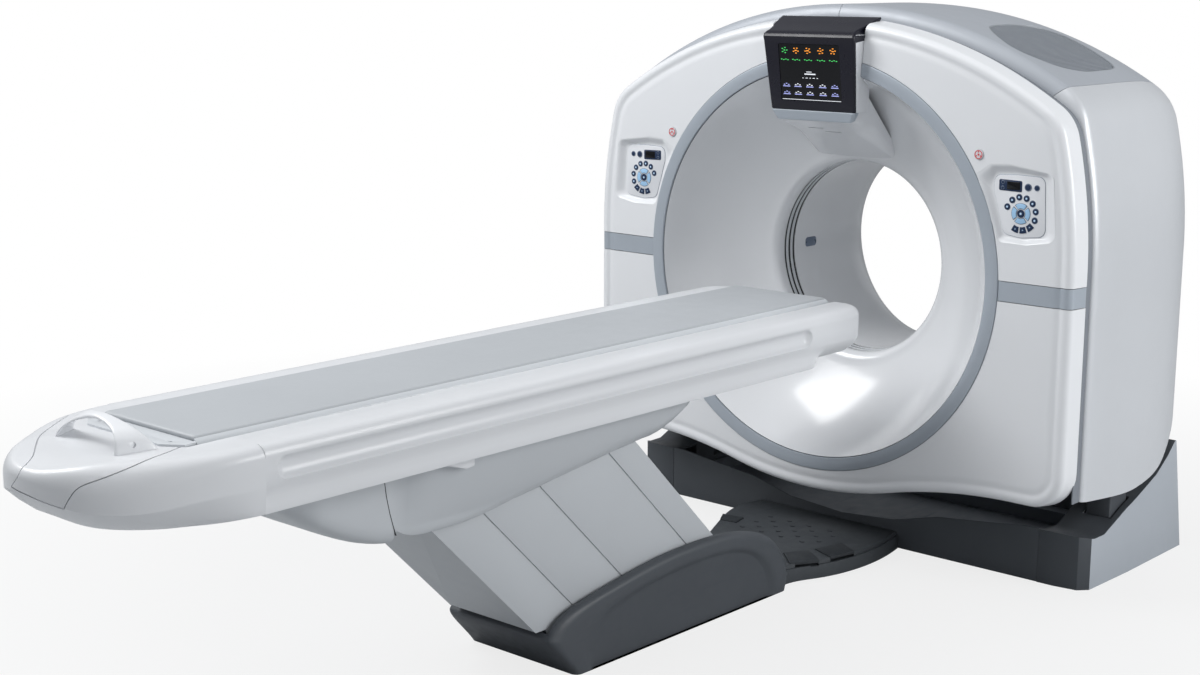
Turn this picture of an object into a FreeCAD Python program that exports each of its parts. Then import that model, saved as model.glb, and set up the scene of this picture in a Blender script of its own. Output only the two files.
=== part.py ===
import FreeCAD, Part
import math
import os

os.makedirs("parts", exist_ok=True)
V = FreeCAD.Vector

# All sizes in millimetres. X runs across the gantry, Y along the bore away from the table, Z up.
# The origin lies on the floor under the centre of the bore.

# ---- driving sizes: gantry ----
ISO_Z = 1038.0
BORE_R = 350.0
RING_OUT_R = 736.3
RING_IN_R = 690.0
FACE_Y = -500.0
FRONT_BACK_Y = -420.0
BODY_FRONT_Y = -380.0
REAR_Y = 586.0
REAR_OPEN_R = 604.0
SIDE_X = 1010.0
BODY_CROWN_RAISE = 40.0
BODY_SIDE_RAISE = 8.0
FACE_INSET = 12.0
WALL = 5.0
SEAM = 0.4
SLIT = 0.6
RUN_FIT = 0.09
BALL_FIT = 0.3
BALL_SEAT = 0.1

# ---- cover outline arcs (centre x, centre z, radius) ----
ARCH = (0.0, 295.0, 1610.0)
FLANK = (-890.0, 1100.0, 1900.0)
SHOULDER_R = 155.0
SHOULDER_MIN_R = 60.0
SHOULDER_FADE = 0.4
LOWER_R = 130.0
LOWER_X = 880.0
LOWER_Z = 449.0
WAVE_Z = 319.0
WAVE_STEP = (340.0, 259.0)
WAVE_MID = (560.0, 302.5)
WAVE_END_X = 800.0
WAVE_LOW_Z = 215.0
BODY_BASE_Z = 300.0

# ---- driving sizes: rotating part ----
TILT_PLATE_Y = (60.0, 100.0)
TILT_PLATE_R = (478.0, 745.0)
DRUM_R = (400.0, 715.0)
DRUM_PLATE_Y = (-40.0, 0.0)
DRUM_RIM_Y = -265.0
DRUM_RIM_WALL = 12.0
RACE_IN_R = (440.0, 472.0)
RACE_OUT_R = (498.0, 540.0)
BALL_COUNT = 24
SLIP_R = (410.0, 438.0)
SLIP_END_Y = 160.0
STATOR_R = (545.0, 600.0)
MAGNET_R = (606.0, 628.0)
TUBE_OFFSET = 570.0
TUBE_R = 85.0

# ---- driving sizes: tilt bearings ----
STAND_X = (870.0, 960.0)
STAND_HALF = 60.0
STAND_HEAD_R = 90.0
STAND_FOOT = 150.0
TRUNNION_R = 50.0
ARM_X = (760.0, 830.0)

# ---- driving sizes: gantry base ----
BASE_FACE_Y = -278.6
BASE_SEAM_X = 810.0
BASE_REAR_Y = 449.0

# ---- driving sizes: table ----
TABLE_TOP_Z = 955.0
TABLE_HALF = 335.0
HEAD_Y = -660.0
FOOT_Y = -3050.0
CRADLE_HALF = 200.0
MAT_HALF = 190.0
MAT_TOP_Z = 971.0
CRADLE_Y = (-3262.0, -690.0)
LIFT_FOOT = (-1400.0, 170.0)
LINK_FOOT = (-1850.0, 130.0)
LIFT_STEP = 530.33


def at(plane, a, b, off):
    """Turn a flat point into a space point on the named plane."""
    if plane == "xz":
        return V(a, off, b)
    if plane == "yz":
        return V(off, a, b)
    return V(a, b, off)


def wire(plane, off, path):
    """Closed wire; a step is a point, or a pair (mid, end) for an arc."""
    here = at(plane, path[0][0], path[0][1], off)
    first = here
    edges = []
    for step in path[1:]:
        if isinstance(step[0], tuple):
            mid = at(plane, step[0][0], step[0][1], off)
            end = at(plane, step[1][0], step[1][1], off)
            edges.append(Part.Arc(here, mid, end).toShape())
        else:
            end = at(plane, step[0], step[1], off)
            edges.append(Part.makeLine(here, end))
        here = end
    if here.distanceToPoint(first) > 1e-6:
        edges.append(Part.makeLine(here, first))
    return Part.Wire(edges)


def prism(plane, path, low, high):
    """Extrude a flat path between two offsets."""
    return Part.Face(wire(plane, low, path)).extrude(at(plane, 0, 0, high - low))


def box(x0, x1, y0, y1, z0, z1):
    return Part.makeBox(x1 - x0, y1 - y0, z1 - z0, V(x0, y0, z0))


def tube_y(radius, y0, y1, x=0.0, z=ISO_Z):
    return Part.makeCylinder(radius, y1 - y0, V(x, y0, z), V(0, 1, 0))


def tube_x(radius, x0, x1, y=0.0, z=ISO_Z):
    return Part.makeCylinder(radius, x1 - x0, V(x0, y, z), V(1, 0, 0))


def tube_z(radius, z0, z1, x, y):
    return Part.makeCylinder(radius, z1 - z0, V(x, y, z0), V(0, 0, 1))


def ring_y(radii, y0, y1):
    return tube_y(radii[1], y0, y1).cut(tube_y(radii[0], y0 - 1, y1 + 1))


def turned(path):
    """Turn a path of (radius, y) steps about the bore axis."""
    flat = wire("xy", ISO_Z, path)
    return Part.Face(flat).revolve(V(0, 0, ISO_Z), V(0, 1, 0), 360)


def mirrored(shape):
    return shape.mirror(V(0, 0, 0), V(1, 0, 0))


def fused(shapes):
    body = shapes[0]
    for other in shapes[1:]:
        body = body.fuse(other)
    return body.removeSplitter()


def loft(wires, ruled=True):
    return Part.makeLoft(wires, True, ruled)


def slab(quad_low, quad_high):
    """Solid between two four-cornered sections."""
    low = Part.makePolygon([V(*p) for p in quad_low] + [V(*quad_low[0])])
    high = Part.makePolygon([V(*p) for p in quad_high] + [V(*quad_high[0])])
    return loft([low, high])


def spline_face(points, off):
    """Flat face inside a smooth closed curve through plan points."""
    curve = Part.BSplineCurve()
    curve.interpolate([V(x, y, off) for x, y in points], PeriodicFlag=True)
    return Part.Face(Part.Wire(curve.toShape()))


def largest(shape):
    """The largest solid of a shape that a cut has split."""
    return max(shape.Solids, key=lambda solid: solid.Volume)


def export(node, shape):
    solids = shape.Solids
    for solid in solids:
        assert solid.isValid(), node
    kept = solids[0] if len(solids) == 1 else Part.makeCompound(solids)
    kept.exportStep("parts/" + node + ".step")
    print(node, len(solids), kept.BoundBox)


def arch_points(inset, crown, side):
    """Points of the cover outline above the side corner: side foot, tangents, middles and crown."""
    top_r = ARCH[2] + crown - inset
    flank_r = FLANK[2] + side - inset
    round_r = max(SHOULDER_R + crown - SHOULDER_FADE * inset, SHOULDER_MIN_R)
    r1 = top_r - round_r
    r2 = flank_r - round_r
    dx = FLANK[0] - ARCH[0]
    dz = FLANK[1] - ARCH[1]
    span = math.hypot(dx, dz)
    along = (r1 * r1 - r2 * r2 + span * span) / (2 * span)
    high = math.sqrt(r1 * r1 - along * along)
    ux = dx / span
    uz = dz / span
    cx = ARCH[0] + along * ux + high * uz
    cz = ARCH[1] + along * uz - high * ux
    a1 = math.atan2(cz - ARCH[1], cx - ARCH[0])
    a2 = math.atan2(cz - FLANK[1], cx - FLANK[0])
    t1 = (cx + round_r * math.cos(a1), cz + round_r * math.sin(a1))
    t2 = (cx + round_r * math.cos(a2), cz + round_r * math.sin(a2))
    am = (a1 + a2) / 2
    tm = (cx + round_r * math.cos(am), cz + round_r * math.sin(am))
    fm = (FLANK[0] + flank_r * math.cos(a2 / 2), FLANK[1] + flank_r * math.sin(a2 / 2))
    foot = (FLANK[0] + flank_r, FLANK[1])
    return foot, fm, t2, tm, t1, (0.0, ARCH[1] + top_r)


def arch_path(inset, crown, side):
    foot, fm, t2, tm, t1, top = arch_points(inset, crown, side)
    left = [(-p[0], p[1]) for p in (foot, fm, t2, tm, t1)]
    return [left[0], (left[1], left[2]), (left[3], left[4]), (top, t1), (tm, t2), (fm, foot)]


def front_wire(inset, y):
    """Front cover outline with the waved lower edge."""
    path = arch_path(inset, 0.0, 0.0)
    low_r = LOWER_R - inset
    half = math.sqrt(0.5) * low_r
    right = [
        (LOWER_X + low_r, LOWER_Z),
        ((LOWER_X + half, LOWER_Z - half), (LOWER_X, LOWER_Z - low_r)),
        (WAVE_END_X, WAVE_Z + inset),
        ((WAVE_MID[0], WAVE_MID[1] + inset), (WAVE_STEP[0], WAVE_STEP[1] + inset)),
        ((0.0, WAVE_LOW_Z + inset), (-WAVE_STEP[0], WAVE_STEP[1] + inset)),
        ((-WAVE_MID[0], WAVE_MID[1] + inset), (-WAVE_END_X, WAVE_Z + inset)),
        (-LOWER_X, LOWER_Z - low_r),
        ((-LOWER_X - half, LOWER_Z - half), (-LOWER_X - low_r, LOWER_Z)),
    ]
    return wire("xz", y, path + right)


def body_wire(inset, y):
    """Outline of the top and side covers, closed with a straight line below."""
    path = arch_path(inset, BODY_CROWN_RAISE, BODY_SIDE_RAISE)
    foot_x = path[-1][1][0]
    return wire("xz", y, path + [(foot_x, BODY_BASE_Z), (-foot_x, BODY_BASE_Z)])


# ================= display and chin blocks, also used to cut the covers =================
DISPLAY_LOW_Z = 1583.0
DISPLAY_BEND_Z = 1852.0
DISPLAY_TOP_Z = 1903.0
DISPLAY_LEAN = 40.0
DISPLAY_BACK_Y = -438.0
DISPLAY_HALF = (175.0, 190.0, 225.0)
LIP_LOW_Z = 1546.0
LIP_HALF = 160.0
SCREEN_HALF = 122.0
SCREEN_Z = (1612.0, 1772.0)
SCREEN_DEEP = 5.0
SCREEN_SUNK = 1.0
DISPLAY_CAP_Y = (-504.0, -424.0)
CHIN_TIP_HALF = 120.0
CHIN_LINE = ((-240.0, 1404.0), (-240.0, 1440.0), 1727.0)
SLOT_X = (-60.0, -15.0)
SLOT_LONG = 35.0
SLOT_Z = (1562.0, 1567.0)
SLOT_DEEP = 16.0


def face_y(z):
    """Front of the leaning display face at a height."""
    return FACE_Y - DISPLAY_LEAN * (z - DISPLAY_LOW_Z) / (DISPLAY_BEND_Z - DISPLAY_LOW_Z)


def quad(half, y0, y1, z):
    return [(-half, y0, z), (half, y0, z), (half, y1, z), (-half, y1, z)]


bend_back_y = DISPLAY_BACK_Y - 20.0
low_part = slab(quad(DISPLAY_HALF[0], face_y(DISPLAY_LOW_Z), DISPLAY_BACK_Y, DISPLAY_LOW_Z),
                quad(DISPLAY_HALF[1], face_y(DISPLAY_BEND_Z), bend_back_y, DISPLAY_BEND_Z))
cap_part = slab(quad(DISPLAY_HALF[1], face_y(DISPLAY_BEND_Z), bend_back_y, DISPLAY_BEND_Z),
                quad(DISPLAY_HALF[2], DISPLAY_CAP_Y[0], DISPLAY_CAP_Y[1], DISPLAY_TOP_Z))
display_block = fused([low_part, cap_part])
lip_block = slab(quad(LIP_HALF, FACE_Y + 10.0, DISPLAY_BACK_Y, LIP_LOW_Z),
                 quad(DISPLAY_HALF[0], FACE_Y, DISPLAY_BACK_Y, DISPLAY_LOW_Z - SEAM))
chin_top_y = DISPLAY_BACK_Y + SEAM
chin_top_z = LIP_LOW_Z - SEAM
chin_block = prism("yz", [(FACE_Y + 12.0, chin_top_z), CHIN_LINE[0], CHIN_LINE[1], (chin_top_y,
    CHIN_LINE[2]),
                          (chin_top_y, chin_top_z)], -LIP_HALF, LIP_HALF)
chin_tip_y = CHIN_LINE[0][0]
chin_plan = [(-LIP_HALF, FACE_Y), (LIP_HALF, FACE_Y), (LIP_HALF, DISPLAY_BACK_Y),
             (CHIN_TIP_HALF, chin_tip_y),
             (-CHIN_TIP_HALF, chin_tip_y), (-LIP_HALF, DISPLAY_BACK_Y)]
chin_block = chin_block.common(prism("xy", chin_plan, 1300.0, 1800.0))
display_stack = [display_block, lip_block, chin_block]


def clear_display(shape):
    for block in display_stack:
        shape = shape.cut(block)
    return shape


def screen_slab(front_step):
    """Slab behind the screen window, from a step off the leaning face to the pocket's floor."""
    low_z, high_z = SCREEN_Z
    low_y = face_y(low_z)
    high_y = face_y(high_z)
    return prism("yz", [(low_y + front_step, low_z), (high_y + front_step, high_z), (high_y + SCREEN_DEEP,
        high_z),
                        (low_y + SCREEN_DEEP, low_z)], -SCREEN_HALF, SCREEN_HALF)


export("display_housing", display_block.cut(screen_slab(-2.0)))
export("display_screen", screen_slab(SCREEN_SUNK))
lip = lip_block
for slot_x in SLOT_X:
    lip = lip.cut(box(slot_x, slot_x + SLOT_LONG, FACE_Y - 20.0, FACE_Y + SLOT_DEEP, SLOT_Z[0], SLOT_Z[1]))
export("display_lip", lip)
export("chin_panel", chin_block)

# ================= front cover, bands, pods, stop buttons =================
front_outer = loft([front_wire(FACE_INSET, FACE_Y), front_wire(0.0, FRONT_BACK_Y)])
front_inner = loft([front_wire(FACE_INSET + WALL, FACE_Y + WALL), front_wire(WALL, FRONT_BACK_Y + 1.0)])
front_shell = front_outer.cut(front_inner)
front_shell = front_shell.cut(tube_y(RING_OUT_R + SEAM, FACE_Y - 10.0, FRONT_BACK_Y + 10.0))
front_shell = clear_display(front_shell)

POD_RIM = [(640.0, 1409.0), (691.0, 1444.0), (757.0, 1448.0), (917.0, 1426.0), (936.0, 1210.0),
           (835.0, 1191.0),
           (730.0, 1193.0)]
POD_FLOOR = [(706.0, 1374.0), (733.0, 1412.0), (800.0, 1411.0), (885.0, 1380.0), (896.0, 1300.0),
             (812.0, 1217.0),
             (735.0, 1258.0)]
POD_FLOOR_Y = -480.0
POD_BACK_Y = -474.0
pod_block = prism("xz", POD_RIM, FACE_Y, POD_BACK_Y)
pod_block = pod_block.cut(tube_y(RING_OUT_R + SEAM, FACE_Y - 1.0, POD_BACK_Y + 1.0))
POD_MID = (788.0, 1320.0)
POD_LAND = 0.03
pod_mouth = [(x + (POD_MID[0] - x) * POD_LAND, z + (POD_MID[1] - z) * POD_LAND) for x, z in POD_RIM]
pod_open = loft([wire("xz", FACE_Y - 0.01, pod_mouth), wire("xz", POD_FLOOR_Y, POD_FLOOR)])
pod = pod_block.cut(pod_open)
export("control_pods", Part.makeCompound([pod, mirrored(pod)]))
front_shell = front_shell.cut(pod_block).cut(mirrored(pod_block))

BUTTON_AT = (647.0, 1472.0)
BUTTON_R = 17.0
BUTTON_PROUD = 4.0
BUTTON_LONG = 22.0
BUTTON_HOLE_R = BUTTON_R + 0.6
FLANGE_R = 20.0
CUP_R = 25.0
CUP_BACK_Y = -472.0


def stop_button(x):
    front = FACE_Y - BUTTON_PROUD
    head = tube_y(BUTTON_R, front, front + BUTTON_LONG, x, BUTTON_AT[1])
    flange = tube_y(FLANGE_R, FACE_Y + WALL + SLIT, FACE_Y + WALL + SLIT + 3.0, x, BUTTON_AT[1])
    return fused([head, flange])


def button_seat(shell, x):
    cup = tube_y(CUP_R, FACE_Y + WALL - 0.5, CUP_BACK_Y, x, BUTTON_AT[1])
    cup = cup.cut(tube_y(FLANGE_R + SLIT, FACE_Y + WALL, CUP_BACK_Y - 3.0, x, BUTTON_AT[1]))
    return shell.fuse(cup).cut(tube_y(BUTTON_HOLE_R, FACE_Y - 1.0, FACE_Y + WALL + 0.1, x, BUTTON_AT[1]))


front_shell = button_seat(front_shell, BUTTON_AT[0])
front_shell = button_seat(front_shell, -BUTTON_AT[0])
export("stop_button_right", stop_button(BUTTON_AT[0]))
export("stop_button_left", stop_button(-BUTTON_AT[0]))

BAND_Z = (1000.0, 1066.0)
BAND_DEEP = 3.0
band_zone = box(RING_OUT_R - 10.0, SIDE_X + 10.0, FACE_Y - 5.0, FRONT_BACK_Y + 5.0, BAND_Z[0], BAND_Z[1])
band_core = loft([front_wire(FACE_INSET + BAND_DEEP, FACE_Y + BAND_DEEP),
                  front_wire(BAND_DEEP, FRONT_BACK_Y + 1.0)])
band_zone = band_zone.cut(band_core)
band = front_shell.common(band_zone)
export("front_bands", Part.makeCompound(band.Solids + mirrored(band).Solids))
front_shell = front_shell.cut(band_zone).cut(mirrored(band_zone))
export("front_cover", front_shell)

# ================= ring, cones, window =================
RING_PROUD = 4.0
RING_EDGE = 4.0
ring_front = FACE_Y - RING_PROUD
ring_back = FACE_Y + WALL + 3.0
ring = turned([(RING_IN_R, ring_back), (RING_IN_R, FACE_Y - 1.0), (RING_IN_R + RING_EDGE, ring_front),
               (RING_OUT_R - RING_EDGE, ring_front), (RING_OUT_R, FACE_Y - 1.0), (RING_OUT_R, ring_back)])
export("ring_trim", clear_display(ring))

CONE_STEP = (3.0, 4.0)
CONE = [(RING_IN_R - CONE_STEP[0] - SEAM, FACE_Y + 3.0), ((542.0, -334.0), (386.0, -243.0)),
        ((361.0, -232.0), (BORE_R, -208.0)), (BORE_R, -190.0)]


def shifted(path, dr, dy):
    moved = []
    for step in path:
        if isinstance(step[0], tuple):
            moved.append(tuple((p[0] + dr, p[1] + dy) for p in step))
        else:
            moved.append((step[0] + dr, step[1] + dy))
    return moved


def backwards(path):
    """The same path walked from its end to its start."""
    ends = [step[1] if isinstance(step[0], tuple) else step for step in path]
    back = [ends[-1]]
    for index in range(len(path) - 1, 0, -1):
        step = path[index]
        if isinstance(step[0], tuple):
            back.append((step[0], ends[index - 1]))
        else:
            back.append(ends[index - 1])
    return back


front_cone = turned(CONE + backwards(shifted(CONE, CONE_STEP[0], CONE_STEP[1])))
export("front_cone", largest(clear_display(front_cone)))

WINDOW_Y = (-196.0, -120.0)
export("scan_window", ring_y((BORE_R + CONE_STEP[0] + 0.1, BORE_R + 6.0), WINDOW_Y[0], WINDOW_Y[1]))
HOOP_Y = (-178.0, -152.0)
HOOP_WIDE = 14.0
hoops = [ring_y((BORE_R, BORE_R + CONE_STEP[0]), y, y + HOOP_WIDE) for y in HOOP_Y]
export("window_hoops", Part.makeCompound(hoops))

REAR_CONE = [(BORE_R, -126.0), (BORE_R, REAR_Y - 396.0), ((418.9, REAR_Y - 160.8), (REAR_OPEN_R, REAR_Y))]
rear_cone = turned(REAR_CONE + backwards(shifted(REAR_CONE, CONE_STEP[0], -CONE_STEP[1])))
export("rear_cone", rear_cone)

# ================= side, top and rear covers =================
PLATE_FRONT_Y = REAR_Y - 26.0
STATIONS = [(BODY_FRONT_Y, 0.0), (-140.0, 0.0), (100.0, 0.0), (REAR_Y - 336.0, 15.0), (REAR_Y - 186.0,
    60.0),
            (REAR_Y - 86.0, 130.0), (PLATE_FRONT_Y, 220.0)]
body_outer = loft([body_wire(inset, y) for y, inset in STATIONS], False)
inner_stations = [(BODY_FRONT_Y - 1.0, WALL)] + [(y, inset + WALL) for y, inset in STATIONS[1:-1]]
inner_stations.append((PLATE_FRONT_Y + 1.0, STATIONS[-1][1] + WALL + 1.0))
body_inner = loft([body_wire(inset, y) for y, inset in inner_stations], False)
body_shell = body_outer.cut(body_inner)

SIDE_END_Y = REAR_Y + 4.0
SIDE_KEEP = [(BODY_FRONT_Y, 345.0), (-106.0, 316.0), (37.0, 320.0), (181.0, 352.0), (323.0, 436.0),
             (REAR_Y - 178.0, 505.0), (REAR_Y - 106.0, 600.0), (REAR_Y - 46.0, 690.0), (SIDE_END_Y, 760.0),
             (SIDE_END_Y, 2000.0), (BODY_FRONT_Y, 2000.0)]
SEAM_AT = (880.0, 1695.0)
seam_slope = (SEAM_AT[1] - ISO_Z) / SEAM_AT[0]
FAR_X = 1600.0
far_z = ISO_Z + FAR_X * seam_slope
side_zone = prism("xz", [(SEAM, ISO_Z - SEAM), (FAR_X, far_z - SEAM), (FAR_X, 200.0), (SEAM, 200.0)],
                  BODY_FRONT_Y, REAR_Y)
side_cover = body_shell.common(side_zone).common(prism("yz", SIDE_KEEP, 300.0, 1100.0))
export("side_cover_right", side_cover)
export("side_cover_left", mirrored(side_cover))

VENT = [(494.0, -208.0), (466.0, -60.0), (492.0, 82.0), (567.0, 161.0), (684.0, 159.0), (775.0, 132.0),
        (810.0, 85.0), (816.0, -20.0), (810.0, -149.0), (761.0, -264.0), (645.0, -322.0)]
vent_zone = spline_face(VENT, 1500.0).extrude(V(0, 0, 600.0))
top_zone = prism("xz", [(SEAM, ISO_Z + SEAM), (FAR_X, far_z + SEAM), (FAR_X, 2300.0), (SEAM, 2300.0)],
                 BODY_FRONT_Y, REAR_Y)
top_cover = body_shell.common(top_zone)
vent = top_cover.common(vent_zone)
top_cover = top_cover.cut(vent_zone)
export("top_cover_right", top_cover)
export("top_cover_left", mirrored(top_cover))
export("vent_grilles", Part.makeCompound(vent.Solids + mirrored(vent).Solids))

STRIP_INSET = 6.8
STRIP_LAP = 6.0
STRIP_LOW_Z = 345.0


def strip_block(inset, low_z, lap):
    """Block inside the cover outline that spans the gap between the front and the side covers."""
    half = SIDE_X - inset
    path = arch_path(inset, 0.0, 0.0) + [(half, low_z), (-half, low_z)]
    return loft([wire("xz", y, path) for y in (FRONT_BACK_Y - lap, BODY_FRONT_Y + lap)])


strip = strip_block(STRIP_INSET, STRIP_LOW_Z, STRIP_LAP).cut(
    strip_block(STRIP_INSET + WALL, STRIP_LOW_Z - 45.0, STRIP_LAP + 4.0))
export("recess_strip", strip.cut(front_shell))

PLATE_INSET = 220.0
PLATE_HOLLOW = 12.0
plate_foot_x = SIDE_X + BODY_SIDE_RAISE - PLATE_INSET
PLATE_CORNER_Z = 800.0
PLATE_LOW_Z = 286.0
PLATE_Y = (PLATE_FRONT_Y + SEAM, REAR_Y)
plate_back = PLATE_Y[1] + 14.0
plate_rim = 6.0


def rear_block(inset, y0, y1):
    """Block with the rear cover's outline, arched above and rounded below."""
    half = plate_foot_x - (inset - PLATE_INSET)
    low_z = PLATE_LOW_Z + inset - PLATE_INSET
    path = arch_path(inset, BODY_CROWN_RAISE, BODY_SIDE_RAISE)
    return prism("xz", path + [(half, PLATE_CORNER_Z), ((0.0, low_z), (-half, PLATE_CORNER_Z))], y0, y1)


plate = rear_block(PLATE_INSET, PLATE_Y[0], PLATE_Y[1])
plate = plate.cut(tube_y(REAR_OPEN_R + CONE_STEP[0] + SLIT, PLATE_Y[0] - 10.0, plate_back))
hollow = rear_block(PLATE_INSET + PLATE_HOLLOW, PLATE_Y[0] - SEAM, PLATE_Y[1] - plate_rim)
plate = plate.cut(hollow.cut(tube_y(REAR_OPEN_R + 10.0, PLATE_Y[0] - 10.0, plate_back)))
BELLY_R = (TILT_PLATE_R[1] + SEAM, TILT_PLATE_R[1] + 4.0)
BELLY_TOP_Z = 670.0
belly = ring_y(BELLY_R, BODY_FRONT_Y + 10.0, PLATE_Y[0] + 5.6)
belly = belly.common(box(-650.0, 650.0, -400.0, 600.0, 280.0, BELLY_TOP_Z))
export("rear_cover", fused([plate, belly]))

# ================= tilt frame with trunnions =================
ARM_Z = (ISO_Z - 100.0, ISO_Z + 100.0)
CARRIER_Z = (1080.0, 1120.0)
POST_X = (280.0, 330.0)
POST_Z = (1690.0, 1960.0)
RIB_X = (640.0, 700.0, 1020.0)
RIB_Z = (1300.0, 1338.0, 1378.0)
RIB_BACK_Y = TILT_PLATE_Y[1] + 80.0
frame_plate = ring_y(TILT_PLATE_R, TILT_PLATE_Y[0], TILT_PLATE_Y[1])
half_parts = [
    box(ARM_X[0], ARM_X[1], -STAND_HALF, TILT_PLATE_Y[1], ARM_Z[0], ARM_Z[1]),
    box(ARM_X[0] - 30.0, ARM_X[0] + 1.0, TILT_PLATE_Y[0], TILT_PLATE_Y[1], ARM_Z[0], ARM_Z[1]),
    tube_x(TRUNNION_R, ARM_X[1] - 1.0, STAND_X[1] + 4.0),
    box(ARM_X[0], ARM_X[1] - 10.0, FACE_Y + WALL + 0.3, 1.0 - STAND_HALF, CARRIER_Z[0], CARRIER_Z[1]),
    box(POST_X[0], POST_X[1], TILT_PLATE_Y[0], TILT_PLATE_Y[1], POST_Z[0], POST_Z[1]),
    box(RIB_X[0], RIB_X[2], TILT_PLATE_Y[0] + 60.0, RIB_BACK_Y, RIB_Z[1], RIB_Z[2]),
    box(RIB_X[0], RIB_X[1], TILT_PLATE_Y[0], RIB_BACK_Y, RIB_Z[0], RIB_Z[2]),
]
limit_stations = [(y, inset + SEAM) for y, inset in inner_stations]
frame_limit = loft([body_wire(inset, y) for y, inset in limit_stations], False)
frame_limit = frame_limit.fuse(box(-1100.0, 1100.0, FACE_Y, BODY_FRONT_Y, 300.0, 1700.0))
half_frame = fused(half_parts).common(frame_limit)
export("tilt_frame", fused([frame_plate, half_frame, mirrored(half_frame)]))

BALL_Y = 40.0
ball_r = (RACE_OUT_R[0] - RACE_IN_R[1] - BALL_FIT - BALL_SEAT) / 2
BALL_PITCH = RACE_IN_R[1] + BALL_SEAT + ball_r
export("bearing_outer_race", ring_y(RACE_OUT_R, 20.0, TILT_PLATE_Y[0]))
balls = []
for index in range(BALL_COUNT):
    turn = 2 * math.pi * index / BALL_COUNT
    centre = V(BALL_PITCH * math.cos(turn), BALL_Y, ISO_Z + BALL_PITCH * math.sin(turn))
    balls.append(Part.makeSphere(ball_r, centre))
export("bearing_balls", Part.makeCompound(balls))
export("ring_motor", ring_y(STATOR_R, 18.0, TILT_PLATE_Y[0]))
BRUSH_OUT_R = 560.0
BRUSH_HALF = 30.0
BRUSH_TURN = 40.0
brush = box(SLIP_R[1] - 20.0, BRUSH_OUT_R, TILT_PLATE_Y[1], SLIP_END_Y - 8.0, ISO_Z - BRUSH_HALF,
            ISO_Z + BRUSH_HALF)
brush = brush.cut(tube_y(SLIP_R[1] + SLIT, 0.0, 300.0))
export("brush_block", brush.rotated(V(0, 0, ISO_Z), V(0, 1, 0), BRUSH_TURN))

# ================= rotating part =================
drum = fused([
    ring_y(DRUM_R, DRUM_PLATE_Y[0], DRUM_PLATE_Y[1]),
    ring_y((DRUM_R[1] - DRUM_RIM_WALL, DRUM_R[1]), DRUM_RIM_Y, DRUM_PLATE_Y[1]),
    ring_y(RACE_IN_R, DRUM_PLATE_Y[1] - 1.0, TILT_PLATE_Y[0] - 2.0),
    ring_y(MAGNET_R, DRUM_PLATE_Y[1] - 1.0, TILT_PLATE_Y[0] - 10.0),
])
export("rotor_drum", drum)
slip = ring_y(SLIP_R, DRUM_PLATE_Y[1], SLIP_END_Y)
TRACK_Y = (112.0, 124.0, 136.0)
TRACK_WIDE = 6.0
for track_y in TRACK_Y:
    slip = slip.cut(ring_y((SLIP_R[1] - 3.0, SLIP_R[1] + 1.0), track_y, track_y + TRACK_WIDE))
export("slip_ring", slip)
tube_z_mid = ISO_Z + TUBE_OFFSET
TUBE_FRONT_Y = -262.0
TUBE_CAP_Y = TUBE_FRONT_Y - 13.0
tube = fused([tube_y(TUBE_R, TUBE_FRONT_Y, DRUM_PLATE_Y[0], 0.0, tube_z_mid),
              tube_y(TUBE_R - 25.0, TUBE_CAP_Y, TUBE_FRONT_Y + 1.0, 0.0, tube_z_mid)])
export("xray_tube", tube)
COLLIMATOR_HALF = 105.0
COLLIMATOR_Y = (-215.0, -100.0)
COLLIMATOR_LOW_Z = ISO_Z + 415.0
BEAM_HALF = 60.0
BEAM_Y = (-165.0, -150.0)
collimator = box(-COLLIMATOR_HALF, COLLIMATOR_HALF, COLLIMATOR_Y[0], COLLIMATOR_Y[1], COLLIMATOR_LOW_Z,
                 tube_z_mid)
collimator = collimator.cut(tube_y(TUBE_R + SEAM, -300.0, 0.0, 0.0, tube_z_mid))
collimator = collimator.cut(box(-BEAM_HALF, BEAM_HALF, BEAM_Y[0], BEAM_Y[1], COLLIMATOR_LOW_Z - 1.0,
                                tube_z_mid))
export("collimator", largest(collimator))
DETECTOR_R = (1000.0, 1058.0)
DETECTOR_Y = (-215.0, -40.0)
FAN_HALF = 530.0
FAN_Z = (500.0, 400.0)
detector = tube_y(DETECTOR_R[1], DETECTOR_Y[0], DETECTOR_Y[1], 0.0, tube_z_mid)
detector = detector.cut(tube_y(DETECTOR_R[0], DETECTOR_Y[0] - 1.0, DETECTOR_Y[1] + 1.0, 0.0, tube_z_mid))
fan = [(0.0, tube_z_mid), (FAN_HALF, FAN_Z[0]), (FAN_HALF, FAN_Z[1]), (-FAN_HALF, FAN_Z[1]),
       (-FAN_HALF, FAN_Z[0])]
export("detector_arc", detector.common(prism("xz", fan, -220.0, 0.0)))
UNIT_X = (435.0, 640.0)
UNIT_FRONT_Y = -200.0
UNIT_HALF = 110.0
export("high_voltage_unit", box(UNIT_X[0], UNIT_X[1], UNIT_FRONT_Y, DRUM_PLATE_Y[0], ISO_Z - UNIT_HALF,
                                ISO_Z + UNIT_HALF))

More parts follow.
